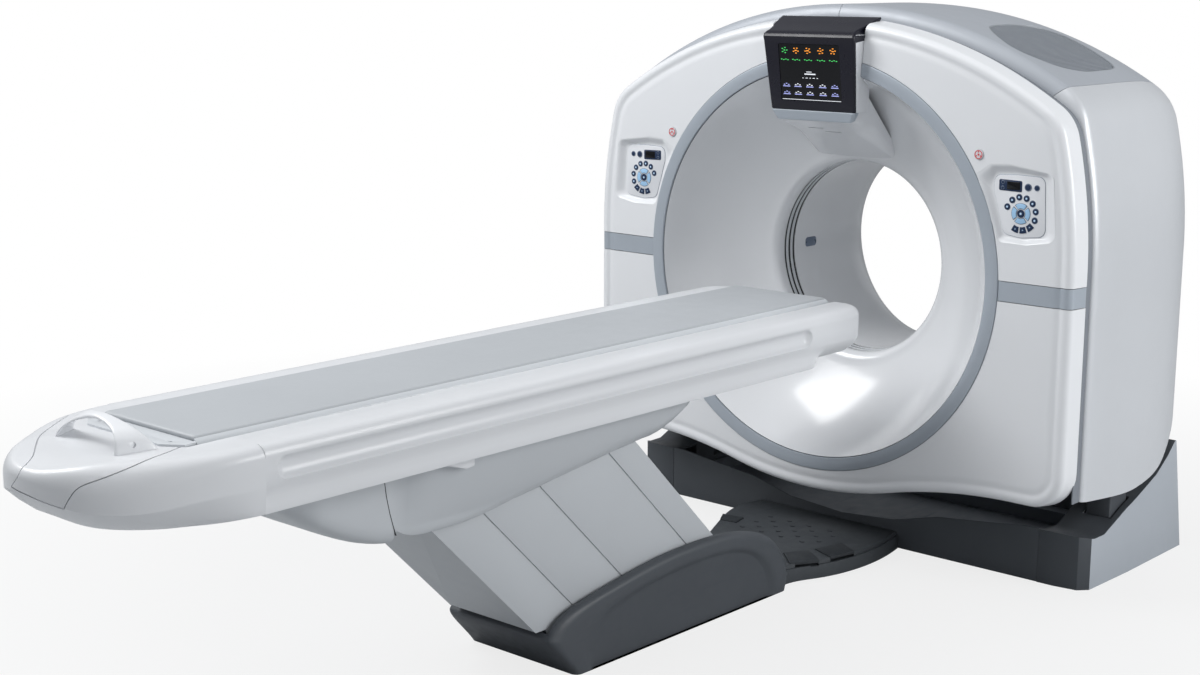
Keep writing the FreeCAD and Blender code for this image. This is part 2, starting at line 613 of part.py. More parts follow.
# ================= gantry base =================
RAIL_Z = 60.0
RAIL_X = (865.0, 965.0)
RAIL_FRONT_Y = (-250.0, -190.0)
RAIL_REAR_Y = (340.0, 400.0)
SHEET_THICK = 10.0
rail_side = box(RAIL_X[0], RAIL_X[1], RAIL_FRONT_Y[0], RAIL_REAR_Y[1], 0.0, RAIL_Z)
base_frame = fused([
    box(-RAIL_X[1], RAIL_X[1], RAIL_FRONT_Y[0], RAIL_FRONT_Y[1], 0.0, RAIL_Z),
    box(-RAIL_X[1], RAIL_X[1], RAIL_REAR_Y[0], RAIL_REAR_Y[1], 0.0, RAIL_Z),
    rail_side,
    mirrored(rail_side),
    box(-900.0, 900.0, RAIL_FRONT_Y[1] - 10.0, RAIL_REAR_Y[0] + 10.0, 0.0, SHEET_THICK),
])
ANCHOR_R = 9.0
GANTRY_ANCHORS = [(-800.0, -220.0), (800.0, -220.0), (-800.0, 370.0), (800.0, 370.0)]
for x, y in GANTRY_ANCHORS:
    base_frame = base_frame.cut(tube_z(ANCHOR_R, -1.0, RAIL_Z + 1.0, x, y))
export("gantry_base_frame", base_frame)

FRONT_TOP = [(810.0, 192.0), (750.0, 190.0), (600.0, 171.0), (410.0, 150.0), (230.0, 103.0), (0.0, 85.0)]
front_path = [(-BASE_SEAM_X, 0.0)] + [(-x, z) for x, z in FRONT_TOP[:-1]] + FRONT_TOP[::-1]
front_path.append((BASE_SEAM_X, 0.0))
COVER_THICK = 6.0
RIB_HALF = 790.0
COVER_RIB_Z = (20.0, 50.0)
RAIL_GAP = 0.3
base_front = prism("xz", front_path, BASE_FACE_Y, BASE_FACE_Y + COVER_THICK)
front_rib = box(-RIB_HALF, RIB_HALF, BASE_FACE_Y + 5.0, RAIL_FRONT_Y[0] - RAIL_GAP, COVER_RIB_Z[0],
                COVER_RIB_Z[1])
export("base_front_cover", fused([base_front, front_rib]))
REAR_TOP = [(BASE_SEAM_X, 190.0), (600.0, 150.0), (300.0, 70.0)]
BASE_REAR_FACE = (410.0, 416.0)
rear_path = [(-BASE_SEAM_X, 0.0)] + [(-x, z) for x, z in REAR_TOP] + REAR_TOP[::-1] + [(BASE_SEAM_X, 0.0)]
base_rear = prism("xz", rear_path, BASE_REAR_FACE[0], BASE_REAR_FACE[1])
rear_rib = box(-RIB_HALF, RIB_HALF, RAIL_REAR_Y[1] + RAIL_GAP, BASE_REAR_FACE[0] + 1.0, COVER_RIB_Z[0],
               COVER_RIB_Z[1])
export("base_rear_cover", fused([base_rear, rear_rib]))

END_PLAN = [(BASE_SEAM_X + SEAM, BASE_FACE_Y), (870.0, BASE_FACE_Y), (955.0, -268.0), (985.0, -235.0),
            (993.0, 30.0),
            (993.0, BASE_REAR_Y), (BASE_SEAM_X + SEAM, BASE_REAR_Y)]
END_SIDE = [(BASE_FACE_Y - 2.0, 0.0), (BASE_FACE_Y - 2.0, 190.0), (-215.0, 176.0), (-150.0, 177.0),
            (0.0, 238.0),
            (75.0, 262.0), (218.0, 314.0), (303.0, 367.0), (358.0, 412.0), (366.0, 410.0),
            (BASE_REAR_Y, 0.0)]
END_WALL = 6.0
end_outer = prism("xy", END_PLAN, 0.0, 500.0).common(prism("yz", END_SIDE, 700.0, 1100.0))
front_wall_y = BASE_FACE_Y + END_WALL
rear_wall_y = BASE_REAR_Y - END_WALL
inner_plan = [(x - END_WALL, min(max(y, front_wall_y), rear_wall_y)) for x, y in END_PLAN]
inner_side = [(min(max(y, front_wall_y), rear_wall_y - 4.0), z - END_WALL) for y, z in END_SIDE]
end_inner = prism("xy", inner_plan, -10.0, 500.0).common(prism("yz", inner_side, 700.0, 1100.0))
end_cover = end_outer.cut(end_inner)
end_cover = end_cover.cut(box(700.0, RAIL_X[1] + RAIL_GAP, RAIL_FRONT_Y[0] - RAIL_GAP,
                              RAIL_REAR_Y[1] + RAIL_GAP, -1.0,
                              RAIL_Z + RAIL_GAP))
STAND_SLOT = 8.0
end_cover = end_cover.cut(box(STAND_X[0] - STAND_SLOT, STAND_X[1] + STAND_SLOT, -STAND_HALF - STAND_SLOT,
                              STAND_HALF + STAND_SLOT, 100.0, 500.0))
end_cover = largest(end_cover)
export("base_end_cover_right", end_cover)
export("base_end_cover_left", mirrored(end_cover))

stand = box(STAND_X[0], STAND_X[1], -STAND_HALF, STAND_HALF, RAIL_Z, ISO_Z)
stand = fused([stand, tube_x(STAND_HEAD_R, STAND_X[0], STAND_X[1]),
               box(STAND_X[0], STAND_X[1], -STAND_FOOT, STAND_FOOT, RAIL_Z, RAIL_Z + 20.0)])
stand = stand.cut(tube_x(TRUNNION_R + RUN_FIT, STAND_X[0] - 1.0, STAND_X[1] + 1.0))
export("pivot_stand_right", stand)
export("pivot_stand_left", mirrored(stand))
GEAR_X = (ARM_X[1] + 4.0, STAND_X[0])
GEAR_R = 75.0
MOTOR_HALF = 40.0
MOTOR_Z = (760.0, 980.0)
MOTOR_CAP = (16.0, 700.0)
gear = fused([tube_x(GEAR_R, GEAR_X[0], GEAR_X[1]),
              box(GEAR_X[0], GEAR_X[1], -MOTOR_HALF, MOTOR_HALF, MOTOR_Z[0], MOTOR_Z[1]),
              tube_z(MOTOR_CAP[0], MOTOR_CAP[1], MOTOR_Z[0] + 5.0, GEAR_X[0] + 18.0, 0.0)])
gear = gear.cut(tube_x(TRUNNION_R + RUN_FIT, GEAR_X[0] - 1.0, GEAR_X[1] + 1.0))
export("tilt_gearmotor", mirrored(gear))

# ================= pedal tray and pedals =================
TRAY_TOP = 62.0
TRAY_STEP = 10.0
TRAY_STEP_Z = 14.0
TRAY_FACE_Y = BASE_FACE_Y - SEAM
TRAY_NEAR = [(251.0, TRAY_FACE_Y), (279.0, -480.0), (268.0, -629.0), (235.0, -745.0), (207.0, -808.0),
             (190.0, -903.4)]
TRAY_FAR = [(-196.0, -903.4), (-262.0, -745.0), (-340.0, -576.0), (-385.0, -453.0), (-376.0, TRAY_FACE_Y)]


def side_curve(points, off):
    curve = Part.BSplineCurve()
    curve.interpolate([V(x, y, off) for x, y in points])
    return curve.toShape()


def tray_solid(z0, z1, shrink):
    near = [(x - shrink, y) for x, y in TRAY_NEAR]
    far = [(x + shrink, y) for x, y in TRAY_FAR]
    edges = [side_curve(near, z0), Part.makeLine(V(near[-1][0], near[-1][1], z0), V(far[0][0], far[0][1],
        z0)),
             side_curve(far, z0), Part.makeLine(V(far[-1][0], far[-1][1], z0), V(near[0][0], near[0][1],
                 z0))]
    return Part.Face(Part.Wire(edges)).extrude(V(0, 0, z1 - z0))


PEDALS = {
    "pedal_front": [(97.0, -768.0), (142.0, -683.0), (236.0, -750.0), (179.0, -845.0)],
    "pedal_side": [(154.0, -656.0), (181.0, -539.0), (268.0, -585.0), (244.0, -694.0)],
    "pedal_far": [(-271.0, -526.0), (-255.0, -590.0), (-318.0, -600.0), (-352.0, -540.0)],
}
PEDAL_TOP = 66.0
PEDAL_THICK = 10.0
PEDAL_GAP = 1.2
POCKET_Z = 44.0


def grown(points, step):
    """Grow a convex plan outline away from its middle."""
    mx = sum(p[0] for p in points) / len(points)
    my = sum(p[1] for p in points) / len(points)
    out = []
    for x, y in points:
        reach = math.hypot(x - mx, y - my)
        out.append((x + (x - mx) * step / reach, y + (y - my) * step / reach))
    return out


def hinge_barrel(corners, radius, slack):
    """Round bar along a pedal's first edge, which is its hinge."""
    start = V(corners[0][0], corners[0][1], PEDAL_TOP - PEDAL_THICK / 2)
    end = V(corners[1][0], corners[1][1], PEDAL_TOP - PEDAL_THICK / 2)
    along = (end - start).normalize()
    return Part.makeCylinder(radius, start.distanceToPoint(end) + 2 * slack, start - along * slack, along)


tray = fused([tray_solid(0.0, TRAY_TOP - TRAY_STEP_Z, 0.0), tray_solid(TRAY_TOP - TRAY_STEP_Z, TRAY_TOP,
                                                                       TRAY_STEP)])
for node, corners in PEDALS.items():
    pad = prism("xy", corners, PEDAL_TOP - PEDAL_THICK, PEDAL_TOP)
    export(node, fused([pad, hinge_barrel(corners, PEDAL_THICK / 2, 0.0)]))
    tray = tray.cut(prism("xy", grown(corners, PEDAL_GAP), POCKET_Z, PEDAL_TOP + 20.0))
    tray = tray.cut(hinge_barrel(corners, PEDAL_THICK / 2 + PEDAL_GAP, PEDAL_GAP))
export("pedal_tray", largest(tray))

# ================= table base =================
PLATE_Z = 14.0
LIFT_SHAFT_R = 20.0
LINK_SHAFT_R = 15.0
PLATE_HALF = 170.0
PLATE_SPAN_Y = (-1960.0, -935.0)
LIFT_LUG_X = (75.0, 90.0)
LIFT_LUG_R = 45.0
LINK_LUG_X = (80.0, 96.0)
LINK_LUG_R = 20.0
base_plate = box(-PLATE_HALF, PLATE_HALF, PLATE_SPAN_Y[0], PLATE_SPAN_Y[1], 0.0, PLATE_Z)


def lug(span_x, at_yz, low_z, reach):
    """Upright lug with a round top about a pivot."""
    y, z = at_yz
    return fused([box(span_x[0], span_x[1], y - reach, y + reach, low_z, z), tube_x(reach, span_x[0],
        span_x[1], y, z)])


lift_lug = lug(LIFT_LUG_X, LIFT_FOOT, PLATE_Z - 1.0, LIFT_LUG_R)
link_lug = lug(LINK_LUG_X, LINK_FOOT, PLATE_Z - 1.0, LINK_LUG_R)
base_plate = fused([base_plate, lift_lug, mirrored(lift_lug), link_lug, mirrored(link_lug)])
base_plate = base_plate.cut(tube_x(LIFT_SHAFT_R + RUN_FIT, -200.0, 200.0, LIFT_FOOT[0], LIFT_FOOT[1]))
base_plate = base_plate.cut(tube_x(LINK_SHAFT_R + RUN_FIT, -200.0, 200.0, LINK_FOOT[0], LINK_FOOT[1]))
TABLE_ANCHORS = [(-110.0, -1925.0), (110.0, -1925.0), (-110.0, -1000.0), (110.0, -1000.0)]
for x, y in TABLE_ANCHORS:
    base_plate = base_plate.cut(tube_z(ANCHOR_R, -1.0, PLATE_Z + 1.0, x, y))

HEAD_R = ANCHOR_R + 6.0
HEAD_Z = 8.0
anchors = []
for spots, top in ((GANTRY_ANCHORS, RAIL_Z), (TABLE_ANCHORS, PLATE_Z)):
    for x, y in spots:
        bolt = fused([tube_z(ANCHOR_R - 0.5, 1.0, top + 1.0, x, y), tube_z(HEAD_R, top, top + HEAD_Z, x,
                                                                           y)])
        anchors.append(bolt)
export("floor_anchors", Part.makeCompound(anchors))

SKIRT_HALF = 227.0
SKIRT_WALL = 30.0
SKIRT_ROUND = 18.0
SKIRT = [(-1970.0, 0.0), (-2078.0, 122.0), (-2070.0, 142.0), (-2030.0, 182.0), (-1950.0, 211.0),
         (-1780.0, 241.0),
         (-1560.0, 269.0), (-1325.0, 274.0), (-1164.0, 257.0), (-1022.0, 211.0), (-940.0, 134.0),
         (-904.0, 58.0),
         (-923.0, 0.0)]
SKIRT_INNER = [(-1962.0, -1.0), (-2064.0, 122.0), (-2064.0, 400.0), (-935.0, 400.0), (-935.0, -1.0)]
skirt = prism("yz", SKIRT, -SKIRT_HALF, SKIRT_HALF)
skirt = skirt.cut(prism("yz", SKIRT_INNER, SKIRT_WALL - SKIRT_HALF, SKIRT_HALF - SKIRT_WALL))


def on_side_rim(edge):
    """True for an upper edge of either flat side of the skirt."""
    bounds = edge.BoundBox
    return abs(abs(bounds.XMin) - SKIRT_HALF) < 0.01 and bounds.XLength < 0.01 and bounds.ZMin > 50.0


skirt = skirt.makeFillet(SKIRT_ROUND, [edge for edge in skirt.Edges if on_side_rim(edge)])
hollow_side = box(SKIRT_HALF - SKIRT_WALL - 1.0, SKIRT_HALF - 8.0, -1900.0, -1000.0, -1.0, 120.0)
skirt = skirt.cut(hollow_side).cut(mirrored(hollow_side))
export("table_base_skirt", skirt)

# the leg covers turn on plain pins held by brackets of the base plate
LEG_SHEET = 2.4
LEG_PIN_R = 8.0
LEG_LOW = 76.0
LEG_LOW_RIGHT = 150.0
LEG_NOTCH = (-2052.0, 158.0)
FACE_SHEET = 3.4
# for each cover: its left and right edge as y + z, the pin's y and z, the top's z and the sheet's x
LEGS = {
    "leg_cover_1": (-1940.0, -1735.0, (-2044.0, 132.0), 640.0, 178.0),
    "leg_cover_2": (-1737.0, -1480.0, (-1820.0, 100.0), 655.0, 181.2),
    "leg_cover_3": (-1482.0, -1145.0, (-1558.0, 102.0), 655.0, 184.4),
    "leg_cover_4": (-1147.0, -1015.0, (-1232.0, 112.0), 700.0, 187.6),
}
FOOT_END_LEG = "leg_cover_1"
HEAD_END_LEG = "leg_cover_4"


def leg_path(node, left, right, top):
    """Side view of one leg cover between its two slanted edges."""
    start = (left - LEG_LOW, LEG_LOW)
    path = [(right - LEG_LOW_RIGHT, LEG_LOW_RIGHT), (right - top, top), (left - top, top)]
    if node == FOOT_END_LEG:
        start = (LEG_NOTCH[0] + 52.0, LEG_LOW + 2.0)
        path += [(left - LEG_NOTCH[1], LEG_NOTCH[1]), LEG_NOTCH, (LEG_NOTCH[0], 124.0)]
    if node == HEAD_END_LEG:
        start = (left - LEG_LOW - 10.0, LEG_LOW + 10.0)
    return [start] + path


def leg_cover(node, left, right, pin, top, layer):
    sheet = prism("yz", leg_path(node, left, right, top), layer, layer + LEG_SHEET)
    reach = layer + 0.5
    parts = [sheet, mirrored(sheet), tube_x(LEG_PIN_R, -reach, reach, pin[0], pin[1])]
    if node == FOOT_END_LEG:
        low = LEG_NOTCH[1] + 3.0
        face = [(left - low, low), (left - low + FACE_SHEET, low), (left - top + FACE_SHEET, top),
                (left - top, top)]
        parts.append(prism("yz", face, -reach, reach))
    return fused(parts)


BRACKET_X = (140.0, 170.0)
BRACKET_HALF = 18.0
END_BRACKET = [(-1955.0, PLATE_Z - 1.0), (-1900.0, PLATE_Z - 1.0), (-2028.0, 146.0), (-2057.0, 146.0),
               (-2057.0, 119.0)]


def pin_bracket(node, y, z):
    """Upright block of the base plate that holds one end of a cover's pin."""
    if node == FOOT_END_LEG:
        block = prism("yz", END_BRACKET, BRACKET_X[0], BRACKET_X[1])
    else:
        block = box(BRACKET_X[0], BRACKET_X[1], y - BRACKET_HALF, y + BRACKET_HALF, PLATE_Z - 1.0, z + 14.0)
    return block.cut(tube_x(LEG_PIN_R + RUN_FIT, BRACKET_X[0] - 40.0, BRACKET_X[1] + 30.0, y, z))


for node, sizes in LEGS.items():
    export(node, leg_cover(node, *sizes))
    bracket = pin_bracket(node, *sizes[2])
    base_plate = base_plate.fuse(bracket).fuse(mirrored(bracket))
export("table_base_plate", base_plate.removeSplitter())

LIFT_GEAR_X = (92.0, 136.0)
LIFT_GEAR_R = 58.0
LIFT_MOTOR_Y = 138.0
LIFT_MOTOR_Z = (PLATE_Z + 10.0, PLATE_Z + 90.0)
gear_y, gear_z = LIFT_FOOT
lift_gear = fused([
    tube_x(LIFT_GEAR_R, LIFT_GEAR_X[0], LIFT_GEAR_X[1], gear_y, gear_z),
    box(LIFT_GEAR_X[0], LIFT_GEAR_X[1], gear_y - 50.0, gear_y + 50.0, PLATE_Z + 0.2, gear_z),
    box(LIFT_GEAR_X[0] + 4.0, LIFT_GEAR_X[1] - 4.0, gear_y - LIFT_MOTOR_Y, gear_y - 49.0, LIFT_MOTOR_Z[0],
        LIFT_MOTOR_Z[1]),
])
lift_gear = lift_gear.cut(tube_x(LIFT_SHAFT_R + RUN_FIT, 60.0, 200.0, gear_y, gear_z))
export("lift_gearmotor", lift_gear)

# ================= lift arm, link, saddle =================
LIFT_HEAD = (LIFT_FOOT[0] - LIFT_STEP, LIFT_FOOT[1] + LIFT_STEP)
LINK_HEAD = (LINK_FOOT[0] - LIFT_STEP, LINK_FOOT[1] + LIFT_STEP)


def bar(foot, head, half, x0, x1):
    """Straight bar with round ends between two points of the side view."""
    dy = head[0] - foot[0]
    dz = head[1] - foot[1]
    length = math.hypot(dy, dz)
    ny = -dz / length * half
    nz = dy / length * half
    outline = [(foot[0] + ny, foot[1] + nz), (head[0] + ny, head[1] + nz), (head[0] - ny, head[1] - nz),
               (foot[0] - ny, foot[1] - nz)]
    body = prism("yz", outline, x0, x1)
    return fused([body, tube_x(half, x0, x1, foot[0], foot[1]), tube_x(half, x0, x1, head[0], head[1])])


ARM_HALF = 42.0
ARM_X_HALF = 74.0
ARM_HOLLOW_HALF = 30.0
ARM_HOLLOW_STEP = 90.0
SHAFT_HALF = 90.0
arm_bar = bar(LIFT_FOOT, LIFT_HEAD, ARM_HALF, -ARM_X_HALF, ARM_X_HALF)
arm_hole = bar((LIFT_FOOT[0] - ARM_HOLLOW_STEP, LIFT_FOOT[1] + ARM_HOLLOW_STEP),
               (LIFT_HEAD[0] + ARM_HOLLOW_STEP, LIFT_HEAD[1] - ARM_HOLLOW_STEP), ARM_HOLLOW_HALF, -60.0,
               80.0)
lift_arm = fused([arm_bar.cut(arm_hole), tube_x(LIFT_SHAFT_R, -SHAFT_HALF, 134.0, LIFT_FOOT[0],
                                                LIFT_FOOT[1]),
                  tube_x(LIFT_SHAFT_R, -SHAFT_HALF, SHAFT_HALF, LIFT_HEAD[0], LIFT_HEAD[1])])
export("lift_arm", lift_arm)
LINK_HALF = 24.0
LINK_X = (99.0, 113.0)
LINK_SHAFT_HALF = 110.0
link_bar = bar(LINK_FOOT, LINK_HEAD, LINK_HALF, LINK_X[0], LINK_X[1])
lift_link = fused([
    link_bar,
    mirrored(link_bar),
    tube_x(LINK_SHAFT_R, -LINK_SHAFT_HALF, LINK_SHAFT_HALF, LINK_FOOT[0], LINK_FOOT[1]),
    tube_x(LINK_SHAFT_R, -LINK_SHAFT_HALF, LINK_SHAFT_HALF, LINK_HEAD[0], LINK_HEAD[1]),
])
export("lift_link", lift_link)

SADDLE_TOP = 799.6
SADDLE_CEIL = 791.0
SADDLE_SIDE = [(-3048.0, SADDLE_TOP), (-3046.0, 770.0), ((-2930.0, 672.0), (-2760.0, 582.0)),
               ((-2640.0, 551.0), (-2509.0, 547.0)), (-2331.0, 554.0), (-2065.0, 596.0), (-1795.0, 641.0),
               (-1671.0, 657.0), ((-1560.0, 690.0), (-1500.0, SADDLE_TOP))]
SADDLE_SECTION = [(211.0, 500.0), (211.0, 610.0), (232.0, 680.0), (272.0, 752.0), (284.0, 783.0),
                  (284.0, SADDLE_TOP)]
saddle_outer = prism("yz", SADDLE_SIDE, -300.0, 300.0)
section = [(-x, z) for x, z in SADDLE_SECTION] + SADDLE_SECTION[::-1]
saddle_outer = saddle_outer.common(prism("xz", section, -3100.0, -1400.0))
INNER_HALF = 196.0
saddle = saddle_outer.cut(box(-INNER_HALF, INNER_HALF, -2650.0, -1400.0, 400.0, SADDLE_CEIL))
nose = [(-3035.0, SADDLE_CEIL), (-3030.0, 780.0), (-2750.0, 600.0), (-2662.0, 575.0),
        (-2662.0, SADDLE_CEIL)]
saddle = saddle.cut(prism("yz", nose, -INNER_HALF, INNER_HALF))
top_slot = box(INNER_HALF - 20.0, INNER_HALF, -1920.0, -1760.0, SADDLE_CEIL - 1.0, SADDLE_TOP + 1.0)
saddle = saddle.cut(top_slot).cut(mirrored(top_slot))
head_y, head_z = LIFT_HEAD
link_y, link_z = LINK_HEAD
FORK_HALF = 35.0
FORK_DROP = 20.0
FORK_FIT = 1.0
saddle_lug = lug(LIFT_LUG_X, LIFT_HEAD, head_z - 1.0, LIFT_LUG_R)
saddle_lug = saddle_lug.fuse(box(LIFT_LUG_X[0], LIFT_LUG_X[1], head_y - LIFT_LUG_R, head_y + LIFT_LUG_R,
                                 head_z,
                                 SADDLE_CEIL + 1.0))
fork = box(LINK_LUG_X[0], LINK_LUG_X[1], link_y - FORK_HALF, link_y + FORK_HALF, link_z - FORK_DROP,
           SADDLE_CEIL + 1.0)
fork_gap = LINK_SHAFT_R + FORK_FIT
fork = fork.cut(box(70.0, 100.0, link_y - fork_gap, link_y + fork_gap, link_z - 60.0, link_z))
fork = fork.cut(tube_x(fork_gap, 70.0, 100.0, link_y, link_z))
saddle = fused([saddle, saddle_lug, mirrored(saddle_lug), fork, mirrored(fork)])
saddle = saddle.cut(tube_x(LIFT_SHAFT_R + RUN_FIT, -SHAFT_HALF - 5.0, SHAFT_HALF + 5.0, head_y, head_z))
export("saddle", saddle)

# ================= table body =================
SIDE_PROFILE = [(208.0, TABLE_TOP_Z), (306.0, TABLE_TOP_Z), ((327.0, 948.0), (TABLE_HALF, 928.0)),
                (TABLE_HALF, 866.0),
                (322.0, 860.0), (320.0, 828.0), (0.0, 828.0), (0.0, 918.0), (208.0, 918.0)]
half_body = prism("xz", SIDE_PROFILE, FOOT_Y, HEAD_Y)
LOW_SECTION = [(320.0, 828.5), (290.0, 784.0), (286.0, 784.0), (286.0, 800.0), (0.0, 800.0), (0.0, 828.5)]
low_body = prism("xz", LOW_SECTION, FOOT_Y, -870.0)
low_body = low_body.cut(prism("yz", [(-940.0, 780.0), (-866.0, 830.0), (-860.0, 780.0)], 0.0, 400.0))
under_tray = prism("xz", [(0.0, 800.0), (270.0, 800.0), (300.0, 828.5), (0.0, 828.5)], -945.0, HEAD_Y)
core = prism("xz", [(0.0, 806.0), (280.0, 806.0), (308.0, 832.0), (308.0, 905.0), (0.0, 905.0)],
             FOOT_Y + 8.0,
             HEAD_Y - 8.0)
table_body = fused([half_body, low_body, under_tray]).cut(core)
groove = prism("xz", [(340.0, 922.0), (324.0, 915.0), (316.0, 872.0), (340.0, 864.0)], FOOT_Y - 1.0, -960.0)
table_body = table_body.cut(groove)
table_body = fused([table_body, mirrored(table_body)])
CORNER = 60.0
corner_mid = (TABLE_HALF - 17.6, HEAD_Y - 17.6)
corner_cut = prism("xy", [(TABLE_HALF - CORNER, HEAD_Y + 1.0), (corner_mid, (TABLE_HALF + 1.0,
                                                                             HEAD_Y - CORNER)),
                          (TABLE_HALF + 10.0, HEAD_Y + 10.0)], 700.0, 1000.0)
table_body = table_body.cut(corner_cut).cut(mirrored(corner_cut))
export("table_body", table_body)

FOOT_LENGTH = 560.0
FOOT_GAP_Y = FOOT_Y - SEAM
FOOT_SHELL = 27.0
PLAN_STEPS = 24
FOOT_SIDE = [(FOOT_GAP_Y, TABLE_TOP_Z), (-3290.0, 951.0), ((-3500.0, 932.0), (-3612.0, 904.0)),
             (-3616.0, 890.0),
             ((-3540.0, 838.0), (-3350.0, 803.0)), (FOOT_GAP_Y, 784.0)]


def foot_plan(half, length, z0, z1):
    """Upright block over a half ellipse beyond the table's end."""
    points = []
    for index in range(PLAN_STEPS + 1):
        turn = math.pi * index / PLAN_STEPS
        points.append(V(half * math.cos(turn), FOOT_GAP_Y - length * math.sin(turn), z0))
    curve = Part.BSplineCurve()
    curve.interpolate(points)
    edges = [curve.toShape(), Part.makeLine(points[-1], points[0])]
    return Part.Face(Part.Wire(edges)).extrude(V(0, 0, z1 - z0))


foot_outer = foot_plan(TABLE_HALF, FOOT_LENGTH, 700.0, 1000.0).common(prism("yz", FOOT_SIDE, -400.0, 400.0))
foot_inner_side = [(FOOT_GAP_Y + 1.0, 905.0), (-3290.0, 905.0), (-3560.0, 902.0), (-3590.0, 892.0),
                   (-3535.0, 850.0),
                   (-3350.0, 812.0), (FOOT_GAP_Y + 1.0, 796.0)]
foot_inner = foot_plan(TABLE_HALF - FOOT_SHELL, FOOT_LENGTH - FOOT_SHELL + 5.0, 700.0, 1000.0)
foot_inner = foot_inner.common(prism("yz", foot_inner_side, -400.0, 400.0))
CHANNEL_HALF = 208.0
CHANNEL_END_Y = -3345.0
foot_cover = foot_outer.cut(foot_inner).cut(box(-CHANNEL_HALF, CHANNEL_HALF, CHANNEL_END_Y, FOOT_Y + 1.0,
                                                918.0, 1000.0))
export("foot_cover", foot_cover)

CRADLE_LOW = 918.6
PLATE_HOLE_R = 5.0
PLATE_HOLE_Y = -3300.0
CRADLE_SECTION = [(-205.0, 922.0), (-204.0, 953.0), (-CRADLE_HALF, 960.0), (-MAT_HALF - 0.4, 966.0),
                  (-MAT_HALF - 0.4, 958.0), (MAT_HALF + 0.4, 958.0), (MAT_HALF + 0.4, 966.0),
                  (CRADLE_HALF, 960.0),
                  (204.0, 953.0), (205.0, 922.0), (202.0, CRADLE_LOW), (-202.0, CRADLE_LOW)]
cradle = prism("xz", CRADLE_SECTION, CRADLE_Y[0], CRADLE_Y[1])
cradle_hollow = prism("xz", [(-195.0, 924.0), (195.0, 924.0), (190.0, 950.0), (-190.0, 950.0)],
                      CRADLE_Y[0] + 12.0,
                      CRADLE_Y[1] - 12.0)
end_plate = prism("xy", [(-200.0, CRADLE_Y[0] + 1.0), (200.0, CRADLE_Y[0] + 1.0), (204.0, -3296.0),
                         (150.0, -3332.0),
                         (-150.0, -3332.0), (-204.0, -3296.0)], 950.0, 959.0)
for x in (-150.0, 150.0):
    end_plate = end_plate.cut(tube_z(PLATE_HOLE_R, 940.0, 970.0, x, PLATE_HOLE_Y))
cradle = fused([cradle.cut(cradle_hollow), end_plate])
export("cradle", cradle)
mat = prism("xz", [(-MAT_HALF, 958.2), (MAT_HALF, 958.2), (MAT_HALF, MAT_TOP_Z - 3.0), (MAT_HALF - 4.0,
    MAT_TOP_Z),
                   (4.0 - MAT_HALF, MAT_TOP_Z), (-MAT_HALF, MAT_TOP_Z - 3.0)], CRADLE_Y[0] + 1.0,
            CRADLE_Y[1] - 1.0)
export("mat", mat)

HANDLE_Y = (-3455.0, -3388.0)
handle = prism("xz", [(-168.0, 930.0), (-166.0, 955.0), ((0.0, 1030.0), (166.0, 955.0)), (168.0, 930.0),
                      (122.0, 930.0),
                      (120.0, 950.0), ((0.0, 1004.0), (-120.0, 950.0)), (-122.0, 930.0)], HANDLE_Y[0],
               HANDLE_Y[1])
export("pull_handle", largest(handle.cut(foot_cover.translated(V(0, 0, SEAM)))))
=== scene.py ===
"""Looks of a tilting ring scanner and its patient table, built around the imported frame."""

import logging
import math
from dataclasses import dataclass, field
from enum import Enum
from typing import Callable, Iterable, Sequence

import bmesh
import bpy
from mathutils import Matrix, Vector


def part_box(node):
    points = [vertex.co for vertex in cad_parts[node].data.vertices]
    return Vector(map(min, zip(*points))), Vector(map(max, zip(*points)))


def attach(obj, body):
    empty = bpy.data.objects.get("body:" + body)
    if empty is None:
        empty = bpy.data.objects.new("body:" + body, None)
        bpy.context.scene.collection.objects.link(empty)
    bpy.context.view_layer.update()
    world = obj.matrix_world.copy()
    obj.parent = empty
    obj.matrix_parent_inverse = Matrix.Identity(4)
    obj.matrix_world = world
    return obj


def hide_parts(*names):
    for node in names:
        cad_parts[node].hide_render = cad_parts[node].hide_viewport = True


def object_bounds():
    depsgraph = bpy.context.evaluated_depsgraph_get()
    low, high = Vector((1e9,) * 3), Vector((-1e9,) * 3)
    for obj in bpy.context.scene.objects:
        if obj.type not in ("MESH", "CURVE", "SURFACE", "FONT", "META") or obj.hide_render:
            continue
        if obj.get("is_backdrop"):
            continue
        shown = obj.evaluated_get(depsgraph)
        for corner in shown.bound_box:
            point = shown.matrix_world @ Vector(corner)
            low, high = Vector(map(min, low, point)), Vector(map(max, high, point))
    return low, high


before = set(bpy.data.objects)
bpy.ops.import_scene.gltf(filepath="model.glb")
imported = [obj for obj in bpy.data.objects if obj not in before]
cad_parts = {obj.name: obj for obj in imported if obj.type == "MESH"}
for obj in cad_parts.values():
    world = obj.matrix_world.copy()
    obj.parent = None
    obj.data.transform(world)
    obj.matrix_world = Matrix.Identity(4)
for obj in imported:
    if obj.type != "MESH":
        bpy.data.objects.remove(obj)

log = logging.getLogger("scanner")
FRAME_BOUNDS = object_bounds()
Point = tuple[float, float]
Spot = tuple[float, float, float]
Line = tuple[Point, ...]
Path = tuple[Spot, ...]
Row = tuple[float, ...]
Value = float | Row | bpy.types.NodeSocket
GANTRY, TABLE, FLOOR = "tilting_gantry", "table", "floor_base"
SIDES = ((-1, "left"), (1, "right"))
AXIS_Z = 1.038


